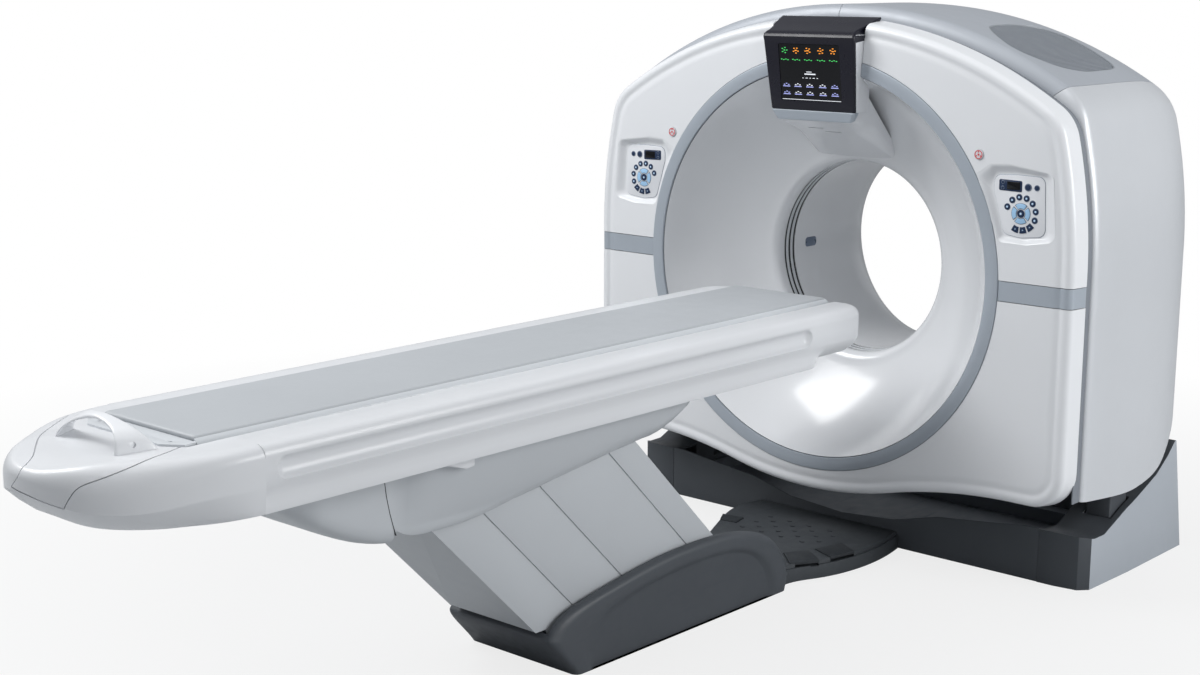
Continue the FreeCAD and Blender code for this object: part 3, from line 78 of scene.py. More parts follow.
class Plane(Enum):
    """The flat plane that an outline is drawn on."""

    FRONT = "across the gantry and up"
    SIDE = "along the bore and up"
    PLAN = "across and along, seen from above"

    def at(self, a: float, b: float, off: float) -> Vector:
        """Space point of the outline point (a, b) at an offset from the plane."""
        return Vector({Plane.FRONT: (a, off, b), Plane.SIDE: (off, a, b), Plane.PLAN: (a, b, off)}[self])

    def loop(self, outline: Iterable[Point], off: float) -> list[Vector]:
        """Space points of an outline at an offset from the plane."""
        return [self.at(a, b, off) for a, b in outline]


def across(points: Iterable[Vector]) -> list[Vector]:
    """The points' mirror images on the other side of the middle plane."""
    return [Vector((-p.x, p.y, p.z)) for p in points]


# ------------------------------------------------------------------ outlines


def limited(value: float) -> float:
    """The value held between 0 and 1."""
    return max(0.0, min(1.0, value))


def eased(share: float) -> float:
    """A share that starts and ends slowly."""
    return share * share * (3 - 2 * share)


def blend(a: Sequence[float], b: Sequence[float], share: float) -> Row:
    """The point that lies a share of the way from a to b."""
    return tuple(u + (v - u) * share for u, v in zip(a, b))


def toward(points: Iterable[Point], middle: Point, share: float) -> list[Point]:
    """The points drawn towards a middle by a share of their distance."""
    return [blend(point, middle, share) for point in points]


def rect(x0: float, z0: float, x1: float, z1: float) -> list[Point]:
    """Corners of a rectangle from its first to its opposite corner."""
    return [(x0, z0), (x1, z0), (x1, z1), (x0, z1)]


def ray(middle: Point, radius: float, turn: float) -> Point:
    """Point at a distance and an angle from a middle."""
    return middle[0] + radius * math.cos(turn), middle[1] + radius * math.sin(turn)


def arc(middle: Point, radius: float, start: float, turn: float, steps: int) -> list[Point]:
    """Points of an arc about a middle, both ends included, from a start angle over a turn."""
    return [ray(middle, radius, start + turn * k / steps) for k in range(steps + 1)]


def circle(middle: Point, radius: float, steps: int) -> list[Point]:
    """Points of a circle about a middle."""
    return arc(middle, radius, 0.0, 2 * math.pi, steps)[:-1]


def quarter(steps: int) -> list[Point]:
    """Pairs of 1 - cosine and sine over a quarter turn."""
    return [(1 - math.cos(a), math.sin(a)) for a in (math.pi / 2 * k / steps for k in range(steps + 1))]


def arcs(start: Point, *runs: tuple[Point, Point, int]) -> list[Point]:
    """A line of arcs that follow each other.

    Args:
        start: First point of the line.
        runs: For each arc a point on it, its end and its number of stretches.

    Returns:
        The line's points.
    """
    line = [start]
    for (bx, by), (cx, cy), steps in runs:
        ax, ay = start
        d = 2 * (ax * (by - cy) + bx * (cy - ay) + cx * (ay - by))
        a2, b2, c2 = ax**2 + ay**2, bx**2 + by**2, cx**2 + cy**2
        ux = (a2 * (by - cy) + b2 * (cy - ay) + c2 * (ay - by)) / d
        uy = (a2 * (cx - bx) + b2 * (ax - cx) + c2 * (bx - ax)) / d
        first, via, last = (math.atan2(y - uy, x - ux) for x, y in ((ax, ay), (bx, by), (cx, cy)))
        turn = (last - first) % (2 * math.pi)
        if (via - first) % (2 * math.pi) > turn:
            turn -= 2 * math.pi
        line += arc((ux, uy), math.hypot(ax - ux, ay - uy), first, turn, steps)[1:]
        start = (cx, cy)
    return line


def rounded(corners: Sequence[Point], radius: float | Sequence[float], steps: int = 5) -> list[Point]:
    """A closed outline with each corner rounded.

    Args:
        corners: The outline's corners in order.
        radius: One radius for all corners, or one for each; 0 keeps a corner sharp.
        steps: Number of stretches in each rounding.

    Returns:
        The points of the rounded outline.
    """
    count = len(corners)
    radii = [radius] * count if isinstance(radius, (int, float)) else radius
    outline: list[Point] = []
    for index, (corner, size) in enumerate(zip(corners, radii)):
        if size <= 0.0:
            outline.append(corner)
            continue
        here = Vector(corner)
        before = (Vector(corners[index - 1]) - here).normalized()
        after = (Vector(corners[(index + 1) % count]) - here).normalized()
        half = math.acos(max(-1.0, min(1.0, before.dot(after)))) / 2
        middle = (before + after).normalized() * (size / math.sin(half)) + here
        first, last = (here + way * (size / math.tan(half)) - middle for way in (before, after))
        outline += [tuple(middle + first.lerp(last, k / steps).normalized() * size) for k in range(steps + 1)]
    return outline


def smooth_line(points: Sequence[Sequence[float]], steps: int, closed: bool = False) -> list[tuple]:
    """A smooth curve through points.

    Args:
        points: The points that it passes.
        steps: Number of stretches between two points.
        closed: Whether it returns to its start.

    Returns:
        The curve's points.
    """
    knots = [Vector(p) for p in points]
    if closed:
        knots = [knots[-1], *knots, *knots[:2]]
    else:
        knots = [knots[0] * 2 - knots[1], *knots, knots[-1] * 2 - knots[-2]]
    line = []
    for p0, p1, p2, p3 in zip(knots, knots[1:], knots[2:], knots[3:]):
        for t in (step / steps for step in range(steps)):
            line.append(tuple((p1 * 2 + (p2 - p0) * t + (p0 * 2 - p1 * 5 + p2 * 4 - p3) * t**2
                               + (p1 * 3 - p0 - p2 * 3 + p3) * t**3) / 2))
    return line if closed else line + [tuple(points[-1])]


# ------------------------------------------------------------------ finishes


def linear(code: str) -> Spot:
    """Linear colour of a six-digit colour code."""
    parts = (int(code[i:i + 2], 16) / 255 for i in (0, 2, 4))
    return tuple(((c + 0.055) / 1.055) ** 2.4 if c > 0.04045 else c / 12.92 for c in parts)


class Tree:
    """A node tree with short calls to add and feed its nodes."""

    def __init__(self, tree: bpy.types.NodeTree) -> None:
        """Wraps an existing node tree."""
        self.tree = tree

    def feed(self, node: bpy.types.Node, inputs: dict[str | int, Value]) -> bpy.types.Node:
        """Feeds a node's inputs.

        Args:
            node: The node.
            inputs: A plain value or another node's output for each input.

        Returns:
            The same node.
        """
        for key, value in inputs.items():
            if isinstance(value, bpy.types.NodeSocket):
                self.tree.links.new(value, node.inputs[key])
            else:
                node.inputs[key].default_value = value
        return node

    def add(self, kind: str, inputs: dict[str | int, Value] | None = None, **settings: str) -> bpy.types.Node:
        """Adds a node.

        Args:
            kind: The shader node's type name.
            inputs: What feeds its inputs.
            settings: Attributes of the node, such as its operation.

        Returns:
            The new node.
        """
        node = self.tree.nodes.new("ShaderNode" + kind)
        for name, setting in settings.items():
            setattr(node, name, setting)
        return self.feed(node, inputs or {})

    def noise(self, where: Value, scale: Value, detail: float) -> bpy.types.NodeSocket:
        """Adds a noise pattern."""
        return self.add("TexNoise", {"Detail": detail, "Scale": scale, "Vector": where}).outputs["Fac"]

    def spread(self, value: Value, low: Value, high: Value) -> bpy.types.NodeSocket:
        """Maps a value from 0.3 to 0.7 onto low to high."""
        ends = {"From Min": 0.3, "From Max": 0.7, "To Min": low, "To Max": high}
        return self.add("MapRange", {"Value": value, **ends}).outputs["Result"]

    def sums(self, operation: str, a: Value, b: Value) -> bpy.types.NodeSocket:
        """Adds a math node with two terms."""
        return self.add("Math", {0: a, 1: b}, operation=operation).outputs[0]

    def mixed(self, share: Value, a: Value, b: Value) -> bpy.types.NodeSocket:
        """Mixes two colours."""
        return self.add("Mix", {"Factor": share, "A": a, "B": b}, data_type="RGBA").outputs["Result"]


class Effect(Enum):
    """Shader node groups that several finishes share: the output's name, then the inputs' names."""

    CLOUD = ("Value", "Scale", "Low", "High")
    GRAIN = ("Height", "Scale", "Depth")
    RUBS = ("Mask", "Scale", "Amount")

    def group(self) -> bpy.types.ShaderNodeTree:
        """The effect's node group, built at its first use."""
        made = bpy.data.node_groups.get(self.name.lower())
        return made or self._build(bpy.data.node_groups.new(self.name.lower(), "ShaderNodeTree"))

    def _build(self, group: bpy.types.ShaderNodeTree) -> bpy.types.ShaderNodeTree:
        """Fills a new group.

        Args:
            group: The empty group.

        Returns:
            The same group.
        """
        output, *inputs = self.value
        for name in inputs:
            group.interface.new_socket(name, in_out="INPUT", socket_type="NodeSocketFloat")
        group.interface.new_socket(output, in_out="OUTPUT", socket_type="NodeSocketFloat")
        tree = Tree(group)
        given = group.nodes.new("NodeGroupInput").outputs
        where = tree.add("TexCoord").outputs["Object"]
        if self is Effect.CLOUD:
            result = tree.spread(tree.noise(where, given["Scale"], 3.0), given["Low"], given["High"])
        elif self is Effect.GRAIN:
            result = tree.sums("MULTIPLY", tree.noise(where, given["Scale"], 4.0), given["Depth"])
        else:
            drawn = tree.add("Mapping", {"Vector": where, "Scale": (1.0, 0.12, 1.4), "Rotation": (0.3, 0.2, 0.5)})
            streaks = tree.spread(tree.noise(drawn.outputs["Vector"], given["Scale"], 5.0), 0.0, 1.0)
            result = tree.sums("MULTIPLY", tree.sums("POWER", streaks, 6.0), given["Amount"])
        tree.feed(group.nodes.new("NodeGroupOutput"), {output: result})
        return group


@dataclass(frozen=True)
class Finish:
    """A painted, moulded or metal surface with a slow tone change, a grain and fine rubs."""

    name: str
    slot: str
    colour: str
    rough: Point = (0.3, 0.38)
    metal: float = 0.0
    coat: float = 0.0
    tone: float = 0.03
    cloud: float = 3.0
    grain: float = 420.0
    depth: float = 0.0
    rubs: float = 0.0
    specular: float = 0.5

    def effect(self, tree: Tree, effect: Effect, **values: float) -> bpy.types.NodeSocket:
        """Places a shared effect and feeds its inputs by name."""
        node = tree.add("Group", node_tree=effect.group())
        return tree.feed(node, {key.capitalize(): value for key, value in values.items()}).outputs[0]

    def colours(self, tree: Tree) -> bpy.types.NodeSocket:
        """The base colour with its slow change of tone."""
        tones = [(*(min(1.0, c * (1 + by)) for c in linear(self.colour)), 1) for by in (-self.tone, self.tone)]
        return tree.mixed(self.effect(tree, Effect.CLOUD, scale=self.cloud, low=0.0, high=1.0), *tones)

    def relief(self, tree: Tree) -> bpy.types.NodeSocket:
        """The grain's height."""
        return self.effect(tree, Effect.GRAIN, scale=self.grain, depth=1.0)

    def material(self) -> bpy.types.Material:
        """The finish's material, made at its first use.

        Returns:
            The material.
        """
        made = bpy.data.materials.get(self.name)
        if made:
            return made
        material = bpy.data.materials.new(self.name)
        material.use_nodes = True
        tree = Tree(material.node_tree)
        rough = self.effect(tree, Effect.CLOUD, scale=self.cloud * 6, low=self.rough[0], high=self.rough[1])
        if self.rubs:
            rough = tree.sums("ADD", rough, self.effect(tree, Effect.RUBS, scale=40.0, amount=self.rubs))
        surface = tree.feed(material.node_tree.nodes["Principled BSDF"], {
            "Metallic": self.metal, "Coat Weight": self.coat, "Coat Roughness": 0.12,
            "Specular IOR Level": self.specular, "Base Color": self.colours(tree), "Roughness": rough})
        if self.depth:
            bump = tree.add("Bump", {"Strength": 0.6, "Distance": self.depth, "Height": self.relief(tree)})
            tree.feed(surface, {"Normal": bump.outputs["Normal"]})
        return material


@dataclass(frozen=True)
class Perforated(Finish):
    """Sheet with rows of small round holes, painted dark as painted shade and sunk by a bump."""

    pitch: float = 0.007
    hole_share: float = 0.34

    def holes(self, tree: Tree) -> bpy.types.NodeSocket:
        """Mask that is 1 in a hole.

        Args:
            tree: The material's tree.

        Returns:
            The mask.
        """
        flat = tree.add("Mapping", {"Vector": tree.add("TexCoord").outputs["Object"], "Scale": (1.0, 1.0, 0.0)})
        cells = tree.add("TexVoronoi", {"Vector": flat.outputs["Vector"], "Scale": 1 / self.pitch,
                                        "Randomness": 0.0}, feature="F1")
        return tree.sums("LESS_THAN", cells.outputs["Distance"], self.hole_share)

    def colours(self, tree: Tree) -> bpy.types.NodeSocket:
        """The sheet's colour with painted shade in the holes."""
        # painted shade: each hole is darkened to 0.3 of the sheet's colour
        dark = (*(c * 0.3 for c in linear(self.colour)), 1)
        return tree.mixed(self.holes(tree), super().colours(tree), dark)

    def relief(self, tree: Tree) -> bpy.types.NodeSocket:
        """Height that drops in each hole."""
        return tree.sums("SUBTRACT", super().relief(tree), self.holes(tree))


@dataclass(frozen=True)
class Glow(Finish):
    """A lit mark of a screen or key."""

    strength: float = 1.0

    def material(self) -> bpy.types.Material:
        """The finish's material with its own light.

        Returns:
            The material.
        """
        material = super().material()
        Tree(material.node_tree).feed(material.node_tree.nodes["Principled BSDF"], {
            "Emission Color": (*linear(self.colour), 1), "Emission Strength": self.strength})
        return material


COVER_WHITE = Finish("sprayed_white", "cover_white", "DEE0E3", rough=(0.3, 0.36), coat=0.25, tone=0.008)
CONE_WHITE = Finish("glossy_white", "cover_white", "DDDFE2", rough=(0.2, 0.25), coat=0.5, tone=0.008)
SIDE_SILVER = Finish("sprayed_silver", "side_silver", "CBCED2", rough=(0.32, 0.38), metal=0.2, tone=0.012, coat=0.1)
TOP_GREY = Finish("sprayed_grey", "top_grey", "A7ACB3", rough=(0.38, 0.44), metal=0.1, tone=0.015)
# its holes carry painted shade
VENT_GREY = Perforated("perforated_grey", "vent_grey", "8A9098", rough=(0.45, 0.55), depth=0.0012)
TRIM_BLUE = Finish("satin_blue_grey", "trim_blue_grey", "A9B1BA", rough=(0.3, 0.37), metal=0.25, tone=0.015)
STRIP_GREY = Finish("gasket_grey", "strip_grey", "777C83", rough=(0.5, 0.6), tone=0.03)
BASE_DARK = Finish("moulded_charcoal", "base_dark", "474B50", rough=(0.4, 0.5), tone=0.04, grain=500.0,
                   depth=0.0002, rubs=0.08, specular=0.35)
TRAY_DARK = Finish("grained_charcoal", "tray_dark", "44484C", rough=(0.44, 0.54), tone=0.04, grain=450.0,
                   depth=0.0003, rubs=0.08, specular=0.35)
PEDAL_DARK = Finish("pedal_rubber", "pedal_dark", "303438", rough=(0.46, 0.56), tone=0.05, grain=450.0,
                    depth=0.0003, specular=0.35)
DISPLAY_DARK = Finish("glossy_navy", "display_dark", "171722", rough=(0.26, 0.32), coat=0.06, tone=0.04,
                      specular=0.3)
SCREEN_BLACK = Finish("screen_glass", "screen_black", "0B0C10", rough=(0.1, 0.14), tone=0.02, specular=0.3)
POD_WHITE = Finish("keypad_white", "pod_white", "DADCE0", rough=(0.34, 0.4), coat=0.1, tone=0.008)
BUTTON_WHITE = Finish("button_shell", "button_red", "D0D2D6", rough=(0.3, 0.4), tone=0.02)
SIGNAL_RED = Finish("signal_red", "button_red", "CC3F45", rough=(0.35, 0.45), tone=0.03)
WINDOW_DARK = Finish("window_film", "window_dark", "26272A", rough=(0.3, 0.4), tone=0.05, specular=0.3)
# painted light: a lighter copy of the dark plinth grey for the end covers' lit outward faces
PLINTH_SIDE_PAINTED_LIGHT = Finish("plinth_side_painted_light", "base_dark", "A2A8AF", rough=(0.4, 0.46), tone=0.02)
FRAME_STEEL = Finish("painted_frame", "frame_steel", "6C7178", rough=(0.4, 0.5), metal=0.5, rubs=0.15)
BEARING_STEEL = Finish("ground_steel", "bearing_steel", "B4B7BA", rough=(0.16, 0.26), metal=1.0, rubs=0.1)
DRUM_ALUMINIUM = Finish("cast_aluminium", "drum_aluminium", "A6A9AC", rough=(0.38, 0.5), metal=0.9, depth=0.0002)
UNIT_GREY = Finish("unit_enamel", "unit_grey", "8B9095", rough=(0.38, 0.46), tone=0.03)
TUBE_STEEL = Finish("turned_steel", "tube_steel", "9DA1A5", rough=(0.24, 0.34), metal=0.95, rubs=0.1)
SLIP_BRASS = Finish("track_brass", "slip_brass", "B9975B", rough=(0.22, 0.32), metal=1.0)
MOTOR_DARK = Finish("motor_enamel", "motor_dark", "33363B", rough=(0.4, 0.5), tone=0.05)
LEG_GREY = Finish("leg_enamel", "leg_grey", "B4B8BC", rough=(0.4, 0.46), tone=0.015)
TABLE_GREY = Finish("table_enamel", "table_grey", "D2D4D7", rough=(0.32, 0.38), tone=0.008, coat=0.15)
SADDLE_GREY = Finish("saddle_enamel", "table_grey", "B9BDC1", rough=(0.36, 0.42), tone=0.01)
CRADLE_LIGHT = Finish("cradle_shell", "cradle_light", "C6CACE", rough=(0.3, 0.36), tone=0.01, coat=0.15)
MAT_GREY = Finish("mat_vinyl", "mat_grey", "AAAEB2", rough=(0.46, 0.54), tone=0.015, grain=300.0, depth=0.0002)
KEY_NAVY = Finish("key_navy", "screen_black", "1E2F4C", rough=(0.35, 0.45), tone=0.04, specular=0.3)
KEY_BLUE = Finish("key_light_blue", "pod_white", "9CC3E4", rough=(0.3, 0.4), tone=0.03)
MARK_WHITE = Finish("key_mark", "pod_white", "B9D4EE", rough=(0.4, 0.5), tone=0.02)
KEY_RIM = Finish("key_rim", "trim_blue_grey", "6F7B8E", rough=(0.25, 0.35), metal=0.6, tone=0.02)
GLOW_ORANGE = Glow("glow_orange", "screen_black", "E08A2C", strength=0.9)
GLOW_GREEN = Glow("glow_green", "screen_black", "3FB45A", strength=0.8)
GLOW_BLUE = Glow("glow_blue", "screen_black", "8E93C8", strength=0.8)
GLOW_PALE = Glow("glow_pale", "screen_black", "C9CCD2", strength=0.8)
SEAM_DARK = Finish("seam_shadow", "strip_grey", "2A2C2F", rough=(0.6, 0.7), tone=0.05)

# finishes of the nodes that stay as they come from the frame
NODE_FINISHES = {
    "gantry_base_frame": FRAME_STEEL, "tilt_gearmotor": MOTOR_DARK, "floor_anchors": BEARING_STEEL,
    "table_base_plate": FRAME_STEEL, "lift_gearmotor": MOTOR_DARK, "tilt_frame": FRAME_STEEL,
    "bearing_outer_race": BEARING_STEEL, "ring_motor": MOTOR_DARK, "brush_block": MOTOR_DARK,
    "rotor_drum": DRUM_ALUMINIUM, "bearing_balls": BEARING_STEEL, "xray_tube": TUBE_STEEL,
    "collimator": UNIT_GREY, "detector_arc": UNIT_GREY, "high_voltage_unit": UNIT_GREY, "slip_ring": SLIP_BRASS,
    "lift_arm": FRAME_STEEL, "lift_link": FRAME_STEEL,
}


# ------------------------------------------------------------------ pieces in the making


class Piece:
    """One piece in the making: a bmesh, the name it will have and calls to shape it."""

    def __init__(self, name: str) -> None:
        """Starts an empty piece."""
        self.name = name
        self.bm = bmesh.new()

    def chain(self, points: Iterable[Vector], closed: bool = True) -> list[bmesh.types.BMEdge]:
        """Adds vertices joined by edges.

        Args:
            points: Where the vertices go.
            closed: Whether the last one joins the first.

        Returns:
            The new edges.
        """
        verts = [self.bm.verts.new(p) for p in points]
        pairs = list(zip(verts, verts[1:]))
        if closed:
            pairs.append((verts[-1], verts[0]))
        return [self.bm.edges.new(pair) for pair in pairs]

    def fill(self, edges: list[bmesh.types.BMEdge]) -> list[bmesh.types.BMFace]:
        """Closes a loop of edges with one face."""
        return bmesh.ops.contextual_create(self.bm, geom=edges)["faces"]

    def prism(self, plane: Plane, outline: Sequence[Point], low: float, high: float) -> "Piece":
        """Adds a block with a flat outline.

        Args:
            plane: The plane of the outline.
            outline: Its points in order.
            low: Offset of the first face.
            high: Offset of the last face.

        Returns:
            This piece.
        """
        faces = self.fill(self.chain(plane.loop(outline, low)))
        moved = bmesh.ops.extrude_face_region(self.bm, geom=faces, use_keep_orig=True)["geom"]
        verts = [v for v in moved if isinstance(v, bmesh.types.BMVert)]
        bmesh.ops.translate(self.bm, verts=verts, vec=plane.at(0, 0, high - low))
        return self

    def box(self, low: Sequence[float], high: Sequence[float]) -> "Piece":
        """Adds a block between two opposite corners.

        Args:
            low: Lowest corner.
            high: Highest corner.

        Returns:
            This piece.
        """
        shape = Matrix.Diagonal((*(h - l for l, h in zip(low, high)), 1.0))
        middle = Matrix.Translation([(h + l) / 2 for l, h in zip(low, high)])
        bmesh.ops.create_cube(self.bm, size=1.0, matrix=middle @ shape)
        return self

    def skin(self, loops: Iterable[Sequence[Vector]], closed: bool = True, caps: bool = False) -> "Piece":
        """Adds a skin over loops with equal numbers of points.

        Args:
            loops: The loops' points, in the order that the skin passes them.
            closed: Whether each loop is closed.
            caps: Whether the first and the last loop are filled.

        Returns:
            This piece.
        """
        chains = [self.chain(points, closed) for points in loops]
        for first, second in zip(chains, chains[1:]):
            bmesh.ops.bridge_loops(self.bm, edges=first + second)
        for edges in (chains[0], chains[-1]) if caps else ():
            self.fill(edges)
        return self

    def turned(self, profile: Sequence[Point], steps: int = 180) -> "Piece":
        """Turns a closed profile about the bore axis.

        Args:
            profile: The profile's points, each a radius and a y.
            steps: Number of stretches around.

        Returns:
            This piece.
        """
        edges = self.chain(Vector((0.0, y, AXIS_Z + r)) for r, y in profile)
        verts = list(dict.fromkeys(v for e in edges for v in e.verts))
        bmesh.ops.spin(self.bm, geom=verts + edges, cent=(0, 0, AXIS_Z), axis=(0, 1, 0), angle=2 * math.pi,
                       steps=steps, use_merge=True)
        return self

    def rod(self, start: Sequence[float], end: Sequence[float], radius: float, segments: int = 40) -> "Piece":
        """Adds a round bar between two points.

        Args:
            start: Middle of its first end.
            end: Middle of its last end.
            radius: Its radius.
            segments: Number of sides.

        Returns:
            This piece.
        """
        a, b = Vector(start), Vector(end)
        turn = (b - a).to_track_quat("Z", "Y").to_matrix().to_4x4()
        bmesh.ops.create_cone(self.bm, cap_ends=True, segments=segments, radius1=radius, radius2=radius,
                              depth=(b - a).length, matrix=Matrix.Translation((a + b) / 2) @ turn)
        return self

    def copy_of(self, node: str) -> "Piece":
        """Adds a node's shape, with its loose triangles merged and flat areas joined.

        Args:
            node: The node's name.

        Returns:
            This piece.
        """
        self.bm.from_mesh(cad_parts[node].data)
        bmesh.ops.remove_doubles(self.bm, verts=self.bm.verts[:], dist=1e-5)
        bmesh.ops.dissolve_limit(self.bm, angle_limit=math.radians(0.6), use_dissolve_boundaries=False,
                                 verts=self.bm.verts[:], edges=self.bm.edges[:], delimit=set())
        return self

    def everything(self) -> list[bmesh.types.BMVert | bmesh.types.BMEdge | bmesh.types.BMFace]:
        """All vertices, edges and faces."""
        return self.bm.verts[:] + self.bm.edges[:] + self.bm.faces[:]

    def mirrored(self) -> "Piece":
        """Adds the mirror image across the middle plane."""
        bmesh.ops.mirror(self.bm, geom=self.everything(), axis="X", merge_dist=-1.0)
        return self

    def moved(self, matrix: Matrix) -> "Piece":
        """Moves the whole piece by a matrix."""
        bmesh.ops.transform(self.bm, matrix=matrix, verts=self.bm.verts[:])
        return self.outward()

    def outward(self) -> "Piece":
        """Merges doubles and turns all faces outwards.

        Returns:
            This piece.
        """
        bmesh.ops.remove_doubles(self.bm, verts=self.bm.verts[:], dist=1e-6)
        bmesh.ops.recalc_face_normals(self.bm, faces=self.bm.faces[:])
        return self

    def walled(self, thickness: float) -> "Piece":
        """Gives an open skin a wall."""
        bmesh.ops.solidify(self.bm, geom=self.outward().bm.faces[:], thickness=thickness)
        return self.outward()

    def softened(self, width: float, segments: int = 3, angle: float = 40.0) -> "Piece":
        """Rounds the edges that are sharper than an angle.

        Args:
            width: How far a rounding reaches from its edge.
            segments: Number of stretches across it.
            angle: Smallest angle between two faces, in degrees.

        Returns:
            This piece.
        """
        self.outward()
        sharp = [e for e in self.bm.edges if len(e.link_faces) == 2
                 and e.calc_face_angle(0.0) > math.radians(angle)]
        bmesh.ops.bevel(self.bm, geom=sharp, offset=width, offset_type="OFFSET", segments=segments, profile=0.5,
                        affect="EDGES", clamp_overlap=True, material=-1)
        return self

    def keep_facing(self, direction: Vector, least: float, wanted: bool) -> "Piece":
        """Keeps only the faces that look in a direction, or only the others.

        Args:
            direction: The direction.
            least: Smallest cosine of the angle to it.
            wanted: True keeps the faces that look that way, False the others.

        Returns:
            This piece.
        """
        self.bm.normal_update()
        gone = [f for f in self.bm.faces if (f.normal.dot(direction) > least) != wanted]
        bmesh.ops.delete(self.bm, geom=gone, context="FACES")
        return self

    def halved(self, point: Sequence[float], normal: Sequence[float]) -> "Piece":
        """Cuts away what lies on the normal's side of a plane."""
        bmesh.ops.bisect_plane(self.bm, geom=self.everything(), plane_co=point, plane_no=normal, clear_outer=True)
        return self

    def joined(self, other: "Piece", operation: str = "DIFFERENCE") -> "Piece":
        """Cuts with, or keeps what it shares with, another closed piece.

        Args:
            other: The other piece, which is used up.
            operation: The name of the operation.

        Returns:
            This piece.
        """
        mine, theirs = self._loose_object(), other._loose_object()
        cut = mine.modifiers.new("cut", "BOOLEAN")
        cut.object = theirs
        cut.operation = operation
        cut.solver = "EXACT"
        bpy.context.view_layer.update()
        depsgraph = bpy.context.evaluated_depsgraph_get()
        result = bpy.data.meshes.new_from_object(mine.evaluated_get(depsgraph))
        self.bm.clear()
        self.bm.from_mesh(result)
        for spare in (mine, theirs):
            mesh = spare.data
            bpy.data.objects.remove(spare)
            bpy.data.meshes.remove(mesh)
        bpy.data.meshes.remove(result)
        return self

    def _loose_object(self) -> bpy.types.Object:
        """The piece's present shape as an object in the scene.

        Returns:
            The object.
        """
        mesh = bpy.data.meshes.new(self.name)
        self.outward()
        self.bm.to_mesh(mesh)
        loose = bpy.data.objects.new(self.name, mesh)
        bpy.context.scene.collection.objects.link(loose)
        return loose

    def done(self, body: str, finish: Finish, replaces: Sequence[str] = (), smooth: float = 32.0,
             tidy: bool = True) -> bpy.types.Object:
        """Makes the finished object.

        Args:
            body: The body that it rides on.
            finish: Its finish.
            replaces: The nodes that it stands for.
            smooth: Edges up to this angle are shaded smooth, in degrees.
            tidy: Whether doubles are merged and faces turned outwards first.

        Returns:
            The object.
        """
        if tidy:
            self.outward()
        mesh = bpy.data.meshes.new(self.name)
        self.bm.to_mesh(mesh)
        self.bm.free()
        mesh.shade_smooth()
        mesh.set_sharp_from_angle(angle=math.radians(smooth))
        mesh.materials.append(finish.material())
        made = bpy.data.objects.new(self.name, mesh)
        bpy.context.scene.collection.objects.link(made)
        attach(made, body)
        if replaces:
            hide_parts(*replaces)
        log.info("%s: %d faces on %s", self.name, len(mesh.polygons), body)
        return made


# ------------------------------------------------------------------ gantry covers


@dataclass(frozen=True)
class CoverOutline:
    """Outline of the gantry's covers: a wide arch, round shoulders and bulging flanks, in metres."""

    arch: Point = (0.0, 0.295)
    arch_r: float = 1.61
    flank: Point = (-0.89, 1.1)
    flank_r: float = 1.9
    shoulder: float = 0.155
    shoulder_least: float = 0.06
    shoulder_fade: float = 0.4
    steps: tuple[int, int, int] = (14, 14, 26)

    def right_half(self, inset: float, crown: float = 0.0, side: float = 0.0) -> list[Point]:
        """Points from the right foot of the flank up to the crown.

        Args:
            inset: How far the outline is drawn in.
            crown: How far the arch is raised.
            side: How far the flank is moved out.

        Returns:
            The points, with the same number for every inset.
        """
        top_r = self.arch_r + crown - inset
        flank_r = self.flank_r + side - inset
        round_r = max(self.shoulder + crown - self.shoulder_fade * inset, self.shoulder_least)
        r1, r2 = top_r - round_r, flank_r - round_r
        dx, dz = self.flank[0] - self.arch[0], self.flank[1] - self.arch[1]
        span = math.hypot(dx, dz)
        along = (r1 * r1 - r2 * r2 + span * span) / (2 * span)
        high = math.sqrt(r1 * r1 - along * along)
        cx = self.arch[0] + (along * dx + high * dz) / span
        cz = self.arch[1] + (along * dz - high * dx) / span
        a1, a2 = (math.atan2(cz - z, cx - x) for x, z in (self.arch, self.flank))
        return (arc(self.flank, flank_r, 0.0, a2, self.steps[0])[:-1]
                + arc((cx, cz), round_r, a2, a1 - a2, self.steps[1])[:-1]
                + arc(self.arch, top_r, a1, math.pi / 2 - a1, self.steps[2]))

    def over(self, inset: float) -> list[Point]:
        """Points from the right foot over the crown to the left foot."""
        half = self.right_half(inset)
        return half + [(-x, z) for x, z in half[-2::-1]]


OUTLINE = CoverOutline()


